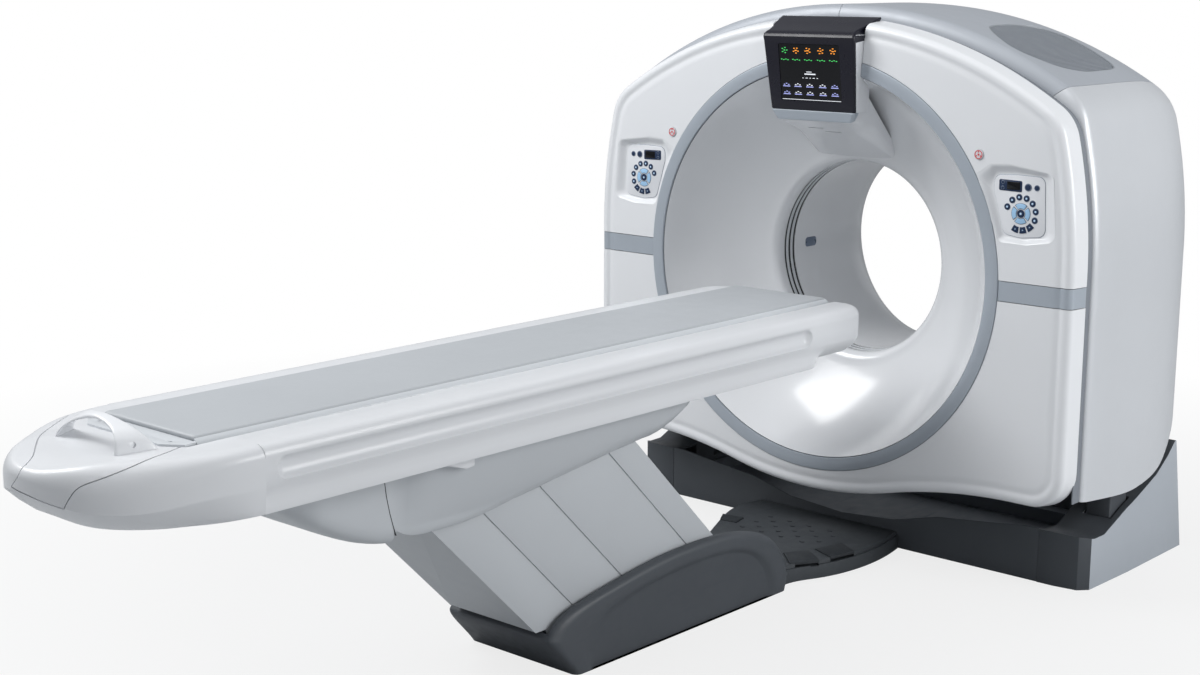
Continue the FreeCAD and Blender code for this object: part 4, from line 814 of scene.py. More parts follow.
@dataclass
class FrontCovers:
    """White front cover with its rounded rim, bands, ring, cone and scan window."""

    face_y: float = -0.5
    back_y: float = -0.42
    face_inset: float = 0.012
    rim_round: float = 0.024
    wall: float = 0.004
    ring_r: Point = (0.69, 0.7363)
    band_z: Point = (1.0, 1.066)
    lower_corner: Spot = (0.88, 0.449, 0.13)
    wave: Line = ((0.8, 0.319), (0.56, 0.3025), (0.34, 0.259), (0.0, 0.215))
    valley: Line = (
        (0.004, 0.0002), (0.009, 0.0016), (0.014, 0.0036), (0.019, 0.0044), (0.024, 0.0036), (0.031, 0.0016),
        (0.04, 0.0003), (0.046, 0.0))
    seams: Line = ((0.6865, 0.694), (0.7323, 0.7393))
    window: Line = ((0.3532, -0.1957), (0.3558, -0.1957), (0.3558, -0.1203), (0.3532, -0.1203))
    hoop: Line = ((0.3502, 0.001), (0.3512, 0.0), (0.3529, 0.0), (0.3529, 0.014), (0.3512, 0.014), (0.3502, 0.013))
    hoop_y: Point = (-0.178, -0.152)
    cone_start: Point = (0.6866, -0.497)
    cone_arcs: tuple[tuple[Point, Point, int], ...] = (
        ((0.542, -0.334), (0.386, -0.243), 22), ((0.361, -0.232), (0.35, -0.208), 8))
    cone_end: Point = (0.35, -0.19)
    sensor: tuple[float, float, float, float] = (-0.056, 1.022, 0.012, 1.058)

    def outline(self, inset: float) -> list[Point]:
        """Closed outline of the front cover with its waved lower edge, drawn in by an inset.

        Args:
            inset: How far it is drawn in.

        Returns:
            The outline's points.
        """
        cx, cz, low_r = self.lower_corner
        low_r -= inset
        half = math.sqrt(0.5) * low_r
        end, step_mid, step_end, bottom = [(x, z + inset) for x, z in self.wave]
        right = arcs((cx, cz - low_r), ((cx + half, cz - half), (cx + low_r, cz), 10))
        far_end, far_mid, far_step = ((-x, z) for x, z in (end, step_mid, step_end))
        wave = arcs(end, (step_mid, step_end, 10), (bottom, far_step, 24), (far_mid, far_end, 10))
        return OUTLINE.over(inset) + [(-x, z) for x, z in right[::-1]] + wave[::-1] + right

    def shell(self, name: str, sunk: float = 0.0) -> Piece:
        """The closed shell of the cover before anything is cut out of it.

        Args:
            name: The piece's name.
            sunk: How far its surface lies under the cover's.

        Returns:
            The walled shell.
        """
        round_y = self.face_y + self.rim_round
        base = sunk + (self.back_y - round_y) * (self.face_inset / (self.back_y - self.face_y))
        stations = [(sunk, self.back_y - 0.0004), (base, round_y)]
        stations += [(base + self.rim_round * along, round_y - (self.rim_round - sunk) * out)
                     for along, out in quarter(7)[1:]]
        inset, y = stations[-1]
        stations += [(inset + along, y + deep) for along, deep in self.valley]
        loops = [Plane.FRONT.loop(self.outline(inset), y) for inset, y in stations]
        piece = Piece(name).skin(loops)
        last = set(piece.bm.verts[-len(loops[-1]):])
        rim = [e for e in piece.bm.edges if e.is_boundary and all(v in last for v in e.verts)]
        opening = circle((0.0, AXIS_Z), self.ring_r[1] + 0.0014, 180)
        hole = piece.chain(Plane.FRONT.loop(opening, stations[-1][1]))
        bmesh.ops.triangle_fill(piece.bm, use_beauty=True, use_dissolve=False, edges=rim + hole)
        lip = bmesh.ops.extrude_edge_only(piece.bm, edges=[e for e in hole if e.is_valid])["geom"]
        bmesh.ops.translate(piece.bm, verts=[v for v in lip if isinstance(v, bmesh.types.BMVert)],
                            vec=(0, 0.012, 0))
        return piece.walled(self.wall)

    def band_block(self, grow: float) -> Piece:
        """Block across both flanks that takes the band out of the cover."""
        low = (self.ring_r[1] - 0.02, self.face_y - 0.01, self.band_z[0] - grow)
        return Piece("band_block").box(low, (1.1, self.back_y + 0.01, self.band_z[1] + grow)).mirrored()

    def build(self, cutters: Sequence[Piece]) -> None:
        """Builds the front pieces.

        Args:
            cutters: Blocks that make room for the display, the pods and the buttons.
        """
        cover = self.shell("front_cover_shell")
        for cutter in (self.band_block(0.0016), *cutters):
            cover.joined(cutter)
        cover.done(GANTRY, COVER_WHITE, ["front_cover"], smooth=28)
        bands = self.shell("front_band_strips", sunk=0.0008).joined(self.band_block(-0.0006), "INTERSECT")
        bands.done(GANTRY, TRIM_BLUE, ["front_bands"], smooth=28)
        self.ring()
        self.bore()

    def ring(self) -> None:
        """Builds the ring around the cone with its seams."""
        r0, r1 = self.ring_r
        front, back = self.face_y - 0.004, self.face_y + 0.008
        profile = [(r0, back), (r0, front + 0.004), (r0 + 0.0012, front + 0.0012), (r0 + 0.005, front),
                   (r1 - 0.005, front), (r1 - 0.0012, front + 0.0012), (r1, front + 0.004), (r1, back)]
        ring = Piece("face_ring").turned(profile, 240).joined(DISPLAY.clearance(0.0004))
        ring.done(GANTRY, TRIM_BLUE, ["ring_trim"], smooth=40)
        seams = Piece("ring_seams")
        for low, high in self.seams:
            seams.turned(rect(low, -0.4945, high, -0.4925))
        seams.joined(DISPLAY.clearance(0.0004)).done(GANTRY, SEAM_DARK)

    def bore(self) -> None:
        """Builds the cone, the window with its hoops and the small sensor in the bore."""
        inner = [*arcs(self.cone_start, *self.cone_arcs), self.cone_end]
        cone = Piece("bore_cone").turned(inner + [(r + 0.003, y + 0.004) for r, y in inner[::-1]], 200)
        cone.done(GANTRY, CONE_WHITE, ["front_cone"], smooth=50)
        Piece("window_band").turned(self.window, 160).done(GANTRY, WINDOW_DARK, ["scan_window"])
        hoops = Piece("window_rings")
        for place in self.hoop_y:
            hoops.turned([(r, place + y) for r, y in self.hoop], 160)
        hoops.done(GANTRY, CRADLE_LIGHT, ["window_hoops"], smooth=50)
        sensor = Piece("bore_sensor").prism(Plane.SIDE, rounded(rect(*self.sensor), 0.012, 8), -0.3525, -0.3475)
        sensor.softened(0.001, 2, 50).done(GANTRY, KEY_RIM)


@dataclass
class Display:
    """Leaning display over the bore: dark bezel, white cheeks, screen marks, lip and chin."""

    low_z: float = 1.583
    bend_z: float = 1.852
    top_z: float = 1.903
    lean: float = 0.04
    half: Spot = (0.175, 0.19, 0.207)
    face_y: float = -0.527
    shell: float = 0.014
    screen_half: float = 0.127
    screen_back: float = 0.0055
    room_y: Point = (-0.56, -0.4)
    lip_room: Point = (0.16, 1.5456)
    screen_z: Point = (1.615, 1.811)
    icons: Row = (-0.102, -0.054, -0.004, 0.05, 0.1)
    cap: Path = (
        (-0.016, 0.0, 0.0015), (-0.009, -0.001, 0.0045), (-0.003, -0.003, 0.0095), (0.002, -0.006, 0.017),
        (0.006, -0.008, 0.027), (0.012, -0.006, 0.042), (0.02, 0.0, 0.062), (0.03, 0.007, 0.086),
        (0.04, 0.012, 0.108), (0.047, 0.016, 0.126), (0.051, 0.014, 0.134))
    lip: Path = (
        (1.5462, 0.152, -0.511), (1.549, 0.1575, -0.5165), (1.5655, 0.167, -0.5225), (1.58, 0.1745, -0.527),
        (1.5822, 0.1745, -0.525))
    chin_top: Point = (-0.512, 1.5454)
    chin_end: Point = (-0.24, 1.404)
    slots: Line = ((-0.035, -0.452), (0.022, -0.425))

    def front_y(self, z: float) -> float:
        """Front of the leaning face at a height."""
        return self.face_y - self.lean * (z - self.low_z) / (self.bend_z - self.low_z)

    def width(self, share: float) -> float:
        """Half width of the leaning face at a share of its height."""
        return self.half[0] + (self.half[1] - self.half[0]) * share

    def clearance(self, gap: float) -> Piece:
        """Block that makes room for the display, the lip and the chin.

        Args:
            gap: Room left around them.

        Returns:
            The block.
        """
        low, bend, top = (h + gap for h in self.half)
        places = ((self.lip_room[0] + gap, self.lip_room[1] - gap), (low, self.low_z - gap), (bend, self.bend_z),
                  (top, self.top_z + 0.02))
        loops = [Plane.PLAN.loop(rect(-half, self.room_y[0], half, self.room_y[1]), z) for half, z in places]
        return Piece("display_room").skin(loops, caps=True).outward()

    def section(self, z: float, half: float, front: float, back: float, radius: float) -> list[Vector]:
        """Flat loop of the housing at a height, with rounded front corners."""
        return Plane.PLAN.loop(rounded(rect(-half, front, half, back), [radius, radius, 0.002, 0.002]), z)

    def plates(self, name: str, outlines: Iterable[Sequence[Point]], low: float, high: float) -> Piece:
        """Thin plates that follow the leaning face.

        Args:
            name: The piece's name.
            outlines: Their outlines, across and up.
            low: How far their backs stand in front of the screen's back.
            high: How far their fronts stand in front of it.

        Returns:
            The plates as one piece.
        """
        piece = Piece(name)
        for outline in outlines:
            piece.skin([[Vector((x, self.front_y(z) + self.screen_back - off, z)) for x, z in outline]
                        for off in (low, high)], caps=True)
        return piece

    def build(self) -> None:
        """Builds the display's pieces."""
        self.housing()
        self.screen()
        self.lip_and_chin()

    def housing(self) -> None:
        """Builds the dark bezel with its cap and the white cheeks behind it."""
        loops = []
        for share in (0.0, 0.015, 0.2, 0.4, 0.6, 0.8, 0.95):
            z = self.low_z + (self.bend_z - 0.02 - self.low_z) * share
            inset = 0.0 if share else 0.002
            loops.append(self.section(z, self.width(share) - inset, self.front_y(z) + 0.0008 + inset,
                                      self.front_y(z) + self.shell, 0.007))
        loops += [self.section(self.bend_z + up, self.half[1] + wide, self.front_y(self.bend_z) + out, -0.424,
                               0.007) for up, wide, out in self.cap]
        bezel = Piece("display_bezel").skin(loops, caps=True)
        pane = rounded(rect(-self.screen_half, self.screen_z[0], self.screen_half, self.screen_z[1]), 0.006, 4)
        bezel.joined(self.plates("screen_pocket", [pane], 0.0155, -0.0005))
        bezel.done(GANTRY, DISPLAY_DARK, ["display_housing"], smooth=35)
        loops = []
        for z in (self.low_z + 0.001, 1.65, 1.72, 1.79, self.bend_z - 0.006):
            half = self.width((z - self.low_z) / (self.bend_z - self.low_z)) - 0.001
            loops.append(self.section(z, half, self.front_y(z) + self.shell + 0.0005, -0.441, 0.002))
        Piece("display_cheeks").skin(loops, caps=True).done(GANTRY, COVER_WHITE, smooth=35)

    @staticmethod
    def bar(x: float, z: float, wide: float, high: float) -> list[Point]:
        """Outline of a small upright rectangle about a middle."""
        return rect(x - wide / 2, z - high / 2, x + wide / 2, z + high / 2)

    def screen(self) -> None:
        """Builds the screen glass with its generic lit marks."""
        bar = self.bar
        z0, z1 = self.screen_z
        half = self.screen_half - 0.0012
        pane = rounded(rect(-half, z0 + 0.0012, half, z1 - 0.0012), 0.005, 4)
        self.plates("screen_panel", [pane], 0.0005, 0.003).done(GANTRY, SCREEN_BLACK, ["display_screen"])
        orange, green, blue, pale = [], [], [], []
        icon_z = z1 - 0.0225
        for index, x in enumerate(self.icons):
            icon = orange if index else green
            icon += [bar(x + 0.01 * math.cos(a), icon_z + 0.009 * math.sin(a), 0.006, 0.003)
                     for a in (turn * 1.257 + index for turn in range(5))]
            icon.append(bar(x, icon_z, 0.007 + 0.002 * (index % 3), 0.0035))
            green += [bar(x - 0.014 + 0.009 * k, icon_z - 0.031 - 0.002 * (k % 2), 0.006, 0.0028) for k in range(4)]
            for z in (z0 + 0.055, z0 + 0.028):
                word = blue if index in (0, 4) else pale
                word += [bar(x - 0.009 + 0.009 * k, z + 0.0035 * (k % 2), 0.006, 0.003) for k in range(3)]
                blue.append(bar(x, z - 0.0055, 0.03, 0.003))
        pale += [bar(0.0, z0 + 0.0935, 0.046, 0.004), bar(-0.004, z0 + 0.101, 0.022, 0.0022)]
        pale += [bar(-0.03 + 0.015 * k, z0 + 0.08, 0.009 if k % 2 else 0.005, 0.0022) for k in range(5)]
        pale.append(bar(0.0, z0 + 0.0045, 0.246, 0.0018))
        for name, marks, finish in (("screen_icons_orange", orange, GLOW_ORANGE),
                                    ("screen_icons_green", green, GLOW_GREEN),
                                    ("screen_keys_blue", blue, GLOW_BLUE), ("screen_keys_pale", pale, GLOW_PALE)):
            self.plates(name, marks, 0.0026, 0.0036).done(GANTRY, finish)

    def lip_and_chin(self) -> None:
        """Builds the grey lip under the bezel and the white chin that runs into the cone."""
        loops = [self.section(z, half, front, -0.498, 0.009) for z, half, front in self.lip]
        Piece("display_lip_bar").skin(loops, caps=True).done(GANTRY, TRIM_BLUE, ["display_lip"])
        (top_y, top_z), (end_y, end_z) = self.chin_top, self.chin_end
        loops = []
        for share in (step / 12 for step in range(13)):
            z = top_z + (end_z - top_z) * share + 0.005 * math.sin(math.pi * share)
            half = 0.158 + 0.012 * share
            back = 0.165 - 0.135 * share**0.8
            edge = min(0.01 + 0.06 * min(1.0, share * 2.5), back * 0.6)
            corners = [(-half, z), (half, z), (half + 0.12 * back, z + back), (-half - 0.12 * back, z + back)]
            loops.append(Plane.FRONT.loop(rounded(corners, [edge, edge, 0, 0], 8), top_y + (end_y - top_y) * share))
        chin = Piece("chin_cover").skin(loops, caps=True)
        slope = math.atan2(end_z - top_z, end_y - top_y)
        for x, y in self.slots:
            z = top_z + (end_z - top_z) * (y - top_y) / (end_y - top_y)
            slot = rounded(rect(x - 0.032, -0.003, x + 0.032, 0.003), 0.0028, 4)
            turn = Matrix.Translation((0, y, z + 0.004)) @ Matrix.Rotation(slope, 4, "X")
            chin.joined(Piece("chin_slot").prism(Plane.PLAN, slot, -0.02, 0.02).moved(turn))
        chin.done(GANTRY, CONE_WHITE, ["chin_panel"], smooth=35)


DISPLAY = Display()


@dataclass
class ControlPods:
    """Sunk control panels on both sides of the ring, with their keys and stop buttons."""

    rim: Line = (
        (0.64, 1.409), (0.691, 1.444), (0.757, 1.448), (0.917, 1.426), (0.936, 1.21), (0.835, 1.191), (0.73, 1.193))
    floor: Line = (
        (0.698, 1.36), (0.698, 1.41), (0.785, 1.4135), (0.879, 1.4115), (0.888, 1.222), (0.8, 1.2115), (0.739, 1.22))
    rim_r: Row = (0.012, 0.03, 0.08, 0.026, 0.03, 0.08, 0.016)
    floor_r: Row = (0.06, 0.026, 0.15, 0.024, 0.026, 0.1, 0.026)
    middle: Point = (0.8, 1.318)
    face_y: float = -0.5
    floor_y: float = -0.4815
    keypad: Point = (0.799, 1.29)
    stop_at: Point = (0.647, 1.472)
    stop_r: float = 0.017
    stop_flange_r: float = 0.0198
    stop_ring_r: Point = (0.0145, 0.0118)
    stop_dot_r: float = 0.0034
    stop_tips: Point = (0.0088, 0.0024)
    ring_room: float = 0.7367
    key_degrees: Row = (159, 128, 99, 70, 41, 11, -20)
    wedge_degrees: Row = (-51, -80, -109)
    key_reach: float = 0.0535

    def cutters(self) -> list[Piece]:
        """Blocks that make room for the pods and the stop buttons in the front cover.

        Returns:
            The blocks.
        """
        outline = toward(rounded(self.rim, self.rim_r, 6), self.middle, -0.002)
        pods = Piece("pod_room").prism(Plane.FRONT, outline, -0.52, -0.44).mirrored()
        holes = Piece("stop_room")
        for side, _ in SIDES:
            x, z = self.stop_at[0] * side, self.stop_at[1]
            holes.rod((x, -0.52, z), (x, -0.47, z), self.stop_r + 0.0008)
        return [pods, holes]

    def build(self) -> None:
        """Builds both pods and their parts."""
        rim = rounded(self.rim, self.rim_r, 6)
        floor = toward(rounded(self.floor, self.floor_r, 6), self.middle, -0.05)
        loops = []
        for share in (step / 10 for step in range(11)):
            y = self.face_y + (self.floor_y - self.face_y) * eased(share)
            loops.append(Plane.FRONT.loop((blend(a, b, share) for a, b in zip(rim, floor)), y))
        behind = [[p + Vector((0, 0.003, 0)) for p in loop] for loop in loops]
        trays = Piece("pod_trays").skin(loops[::-1] + behind, caps=True).outward()
        trays.joined(Piece("ring_room").rod((0, -0.6, AXIS_Z), (0, -0.4, AXIS_Z), self.ring_room, 180))
        trays.mirrored().done(GANTRY, COVER_WHITE, ["control_pods"], smooth=38)
        panel = rounded(self.floor, self.floor_r, 6)
        self.plate(Piece("keypad_plates"), panel, 0.0, 0.0024).mirrored().done(GANTRY, POD_WHITE, smooth=38)
        groove = toward(panel, self.middle, -0.012)
        self.plate(Piece("keypad_seams"), groove, -0.0002, 0.0005).mirrored().done(GANTRY, KEY_RIM)
        self.keys()
        self.stop_buttons()

    def plate(self, piece: Piece, outline: Sequence[Point], low: float, high: float) -> Piece:
        """Adds a thin plate with a softly rounded front to a piece.

        Args:
            piece: The piece to add to.
            outline: The plate's outline.
            low: Height of its back over the pod's floor.
            high: Height of its front over the pod's floor.

        Returns:
            The same piece.
        """
        middle = tuple(sum(p[axis] for p in outline) / len(outline) for axis in (0, 1))
        reach = sum(math.dist(p, middle) for p in outline) / len(outline)
        soft = min(0.0009, (high - low) / 2)
        stations = ((0.0, low), (0.0, high - soft), (soft * 0.3 / reach, high - soft * 0.3), (soft / reach, high))
        return piece.skin([Plane.FRONT.loop(toward(outline, middle, share), self.floor_y - off)
                           for share, off in stations], caps=True)

    def keys(self) -> None:
        """Builds the round keys, the wedge keys, the light ring and the small window."""
        navy, rims, light, dots, glass = (
            Piece(n) for n in ("keys_navy", "key_rims", "keys_light", "key_marks", "keypad_windows"))
        for degrees in self.key_degrees:
            spot = ray(self.keypad, self.key_reach, math.radians(degrees))
            self.plate(rims, circle(spot, 0.0112, 24), 0.0022, 0.0033)
            self.plate(navy, circle(spot, 0.0098, 24), 0.0022, 0.0045)
            self.plate(dots, circle(spot, 0.0036, 12), 0.004, 0.0047)
        for degrees in self.wedge_degrees:
            spot = ray(self.keypad, self.key_reach, math.radians(degrees))
            self.plate(navy, self.wedge(degrees, 0.0435, 0.064, 11.5), 0.0022, 0.0045)
            self.plate(dots, circle(spot, 0.003, 3), 0.004, 0.0047)
        for degrees in (0, 90, 180, 270):
            self.plate(rims, self.wedge(degrees, 0.0155, 0.0345, 41), 0.0022, 0.0034)
            self.plate(light, self.wedge(degrees, 0.0172, 0.0328, 37), 0.0022, 0.0042)
        self.plate(navy, circle(self.keypad, 0.0132, 32), 0.0022, 0.0047)
        self.plate(dots, circle(self.keypad, 0.004, 12), 0.0042, 0.0049)
        for x, radius in ((0.821, 0.0125), (0.8525, 0.0098)):
            self.plate(rims, circle((x, 1.3765), radius, 28), 0.0022, 0.0042)
            self.plate(navy, circle((x, 1.3765), radius * 0.78, 28), 0.0022, 0.0046)
        window = [(0.716, 1.361), (0.799, 1.359), (0.799, 1.395), (0.716, 1.397)]
        self.plate(navy, rounded(window, 0.005, 4), 0.0022, 0.0036)
        for z in (1.3695, 1.3875):
            self.plate(rims, circle((0.73, z), 0.0062, 20), 0.003, 0.0044)
            self.plate(navy, circle((0.73, z), 0.0046, 20), 0.003, 0.0048)
        self.plate(glass, rounded(rect(0.745, 1.365, 0.793, 1.391), 0.002, 3), 0.003, 0.0041)
        for piece, finish in ((navy, KEY_NAVY), (rims, KEY_RIM), (light, KEY_BLUE), (dots, MARK_WHITE),
                              (glass, SCREEN_BLACK)):
            piece.mirrored().done(GANTRY, finish, smooth=38)

    def wedge(self, degrees: float, inner: float, outer: float, spread: float) -> list[Point]:
        """Outline of a key between two radii about the keypad's middle."""
        start, turn = math.radians(degrees - spread), math.radians(2 * spread)
        return arc(self.keypad, outer, start, turn, 8) + arc(self.keypad, inner, start, turn, 8)[::-1]

    def stop_buttons(self) -> None:
        """Builds each stop button with its red ring and dots."""
        z = self.stop_at[1]
        front = self.face_y - 0.004
        for side, word in SIDES:
            x = self.stop_at[0] * side
            button = Piece("stop_cap_" + word).rod((x, front, z), (x, front + 0.022, z), self.stop_r - 0.0002)
            button.rod((x, front + 0.0105, z), (x, front + 0.013, z), self.stop_flange_r).softened(0.0012, 3, 50)
            button.done("stop_" + word, BUTTON_WHITE, ["stop_button_" + word], smooth=40)
            mark = Piece("stop_mark_" + word)
            outer, inner = self.stop_ring_r
            mark.skin([Plane.FRONT.loop(circle((x, z), radius, 40), front + off) for radius, off in (
                (outer, -0.0006), (inner, -0.0006), (inner, 0.0004), (outer, 0.0004), (outer, -0.0006))])
            mark.rod((x, front - 0.0006, z), (x, front + 0.0004, z), self.stop_dot_r, 24)
            for degrees in (90, 210, 330):
                px, pz = ray((x, z), self.stop_tips[0], math.radians(degrees))
                mark.rod((px, front - 0.0004, pz), (px, front + 0.0004, pz), self.stop_tips[1], 16)
            mark.done("stop_" + word, SIGNAL_RED, smooth=40)


@dataclass
class BodyCovers:
    """Silver side covers, grey top covers with vents, the gap strip and the rear."""

    front_y: float = -0.38
    rear_y: float = 0.586
    crown: float = 0.04
    side: float = 0.008
    wall: float = 0.004
    gap: float = 0.0009
    roll: float = 0.034
    strip_inset: float = 0.0072
    strip_y: Point = (-0.4255, -0.3745)
    strip_foot: Point = (0.345, 0.7)
    seam_at: Point = (0.88, 1.695)
    stations: Line = ((-0.38, 0.0), (-0.14, 0.0), (0.1, 0.0), (0.25, 0.015), (0.4, 0.06), (0.5, 0.13), (0.56, 0.22))
    low_edge: Line = (
        (-0.38, 0.345), (-0.106, 0.316), (0.037, 0.32), (0.181, 0.352), (0.323, 0.436), (0.408, 0.505), (0.48, 0.6),
        (0.54, 0.69), (0.59, 0.76))
    vent: Line = (
        (0.494, -0.208), (0.466, -0.06), (0.492, 0.082), (0.567, 0.161), (0.684, 0.159), (0.775, 0.132),
        (0.81, 0.085), (0.816, -0.02), (0.81, -0.149), (0.761, -0.264), (0.645, -0.322))

    def skin(self, name: str, sunk: float = 0.0) -> Piece:
        """The right half of the body's skin, with a rolled front edge.

        Args:
            name: The piece's name.
            sunk: How far it lies under the outer surface.

        Returns:
            The open skin.
        """
        stations = [(0.0, self.front_y + self.roll * along, rise) for along, rise in quarter(10)[:-1]]
        stations += [(inset, y, 1.0) for y, inset in smooth_line(self.stations, 6) if y > self.front_y + self.roll]
        low = OUTLINE.right_half(self.strip_inset + 0.0003)
        loops = []
        for inset, y, rise in stations:
            full = OUTLINE.right_half(inset + sunk, self.crown, self.side)
            half = [blend(a, b, rise) for a, b in zip(low, full)]
            loops.append(Plane.FRONT.loop([(half[0][0], z) for z in (0.28, 0.5, 0.7, 0.9)] + half, y))
        return Piece(name).skin(loops, closed=False)

    def vent_block(self, share: float) -> Piece:
        """Upright block with the vent's outline, drawn in by a share."""
        outline = toward(smooth_line(self.vent, 6, closed=True), (0.65, -0.07), share)
        return Piece("vent_block").prism(Plane.PLAN, outline, 1.4, 2.1)

    def build(self) -> None:
        """Builds the covers of both sides."""
        start = Vector((0.0, 0.0, AXIS_Z))
        slope = Vector((self.seam_at[0], 0.0, self.seam_at[1] - AXIS_Z)).normalized()
        normal = Vector((-slope.z, 0.0, slope.x))
        low = smooth_line(self.low_edge, 4)
        below = [(self.rear_y + 0.2, 0.1), (self.front_y - 0.1, 0.1), (self.front_y - 0.1, low[0][1])]
        for side, word in SIDES[::-1]:
            cover = self.skin("side_shell_" + word).halved(start - normal * self.gap, normal).walled(self.wall)
            cover.joined(Piece("below").prism(Plane.SIDE, low + below, 0.2, 1.2))
            top = self.skin("top_shell_" + word).halved(start + normal * self.gap, -normal)
            top.halved((self.gap, 0, 0), (-1, 0, 0)).walled(self.wall).joined(self.vent_block(0.0))
            for piece, finish, node in ((cover, SIDE_SILVER, "side_cover_"), (top, TOP_GREY, "top_cover_")):
                if side < 0:
                    piece.moved(Matrix.Diagonal((-1, 1, 1, 1)))
                piece.done(GANTRY, finish, [node + word], smooth=35)
        self.vents()
        self.strip()
        self.rear()

    def vents(self) -> None:
        """Builds the perforated grilles and the thin frames around them."""
        grille = self.skin("vent_sheets", sunk=0.004).walled(0.003).joined(self.vent_block(0.004), "INTERSECT")
        grille.mirrored().done(GANTRY, VENT_GREY, ["vent_grilles"], smooth=35)
        rim = self.skin("vent_frames", sunk=0.0012).walled(0.004).joined(self.vent_block(0.001), "INTERSECT")
        rim.joined(self.vent_block(0.022)).mirrored().done(GANTRY, UNIT_GREY, smooth=35)

    def strip(self) -> None:
        """Builds the sunk strip between the front and the side covers."""
        loop = OUTLINE.over(self.strip_inset)
        foot = loop[0][0]
        low, high = self.strip_foot
        loop = [(foot, low), (foot, high), *loop, (-foot, high), (-foot, low)]
        strip = Piece("gap_strip").skin([Plane.FRONT.loop(loop, y) for y in self.strip_y], closed=False)
        strip.walled(self.wall).done(GANTRY, STRIP_GREY, ["recess_strip"], smooth=40)

    def rear(self) -> None:
        """Builds the rear cone and the rounded rear plate."""
        inner = [(0.35, -0.126), (0.35, 0.03)] + arcs((0.35, 0.19), ((0.4189, 0.4252), (0.604, 0.586), 26))
        outer = [(0.353, -0.126)] + [(r + 0.003, y - 0.004) for r, y in inner[1:]]
        cone = Piece("rear_bore_cone").turned(inner + outer[::-1], 200)
        cone.done(GANTRY, CONE_WHITE, ["rear_cone"], smooth=50)
        plate = Piece("rear_shell").copy_of("rear_cover").softened(0.004)
        plate.done(GANTRY, COVER_WHITE, ["rear_cover"], smooth=30)


# ------------------------------------------------------------------ gantry base and pedals


@dataclass
class GantryBase:
    """Dark floor base of the gantry with its end covers and stands."""

    round_width: float = 0.005
    names: dict[str, str] = field(default_factory=lambda: {
        "base_front_cover": "front_plinth", "base_rear_cover": "rear_plinth",
        "pivot_stand_left": "pivot_post_left", "pivot_stand_right": "pivot_post_right"})

    def build(self) -> None:
        """Builds the plinth pieces from the frame's own with rounded edges; the end covers' outward faces get a
        lighter grey as painted light.
        """
        for node, name in self.names.items():
            piece = Piece(name).copy_of(node).softened(self.round_width, 3, 24)
            piece.done(FLOOR, BASE_DARK, [node], smooth=30)
        for side, word in SIDES:
            node = "base_end_cover_" + word
            # the outward faces of each end cover are split off in a lighter grey: painted light
            for name, finish, outer in (("end_plinth_", BASE_DARK, False), ("end_plinth_painted_light_side_", PLINTH_SIDE_PAINTED_LIGHT, True)):
                piece = Piece(name + word).copy_of(node).softened(self.round_width, 3, 24)
                piece.keep_facing(Vector((side, 0, 0)), 0.8, outer)
                piece.done(FLOOR, finish, [] if outer else [node], smooth=30, tidy=False)


@dataclass
class PedalTray:
    """Low tray with a grained top, raised grip marks and three pedals."""

    top_z: float = 0.062
    mark_y: float = -0.437
    mark_x: Row = (-0.205, -0.118, -0.031, 0.062)
    mark_pitch: Point = (0.0435, 0.043)
    pedal_bodies: dict[str, str] = field(default_factory=lambda: {
        "pedal_front": "pedal_a", "pedal_side": "pedal_b", "pedal_far": "pedal_c"})

    def build(self) -> None:
        """Builds the tray, its grip marks and the pedals."""
        tray = Piece("pedal_housing").copy_of("pedal_tray").softened(0.004)
        tray.done(FLOOR, TRAY_DARK, ["pedal_tray"], smooth=30)
        marks = Piece("grip_marks")
        for row in range(5):
            for x in (x + self.mark_pitch[0] * (row % 2) for x in self.mark_x):
                if abs(x) < 0.215:
                    self.crescent(marks, (x, self.mark_y - self.mark_pitch[1] * row))
        marks.done(FLOOR, PEDAL_DARK, smooth=40)
        for node, body in self.pedal_bodies.items():
            Piece(node + "_pad").copy_of(node).softened(0.0024).done(body, PEDAL_DARK, [node], smooth=30)

    def crescent(self, piece: Piece, spot: Point) -> None:
        """Adds one low crescent-shaped grip mark at a spot of the tray's top.

        Args:
            piece: The piece to add to.
            spot: The mark's middle.
        """
        outer = arc(spot, 0.011, math.radians(200), math.radians(140), 7)
        inner = arc((spot[0], spot[1] + 0.0045), 0.01, math.radians(335), math.radians(-114), 6)
        piece.prism(Plane.PLAN, outer + inner, self.top_z - 0.001, self.top_z + 0.0018)


# ------------------------------------------------------------------ patient table


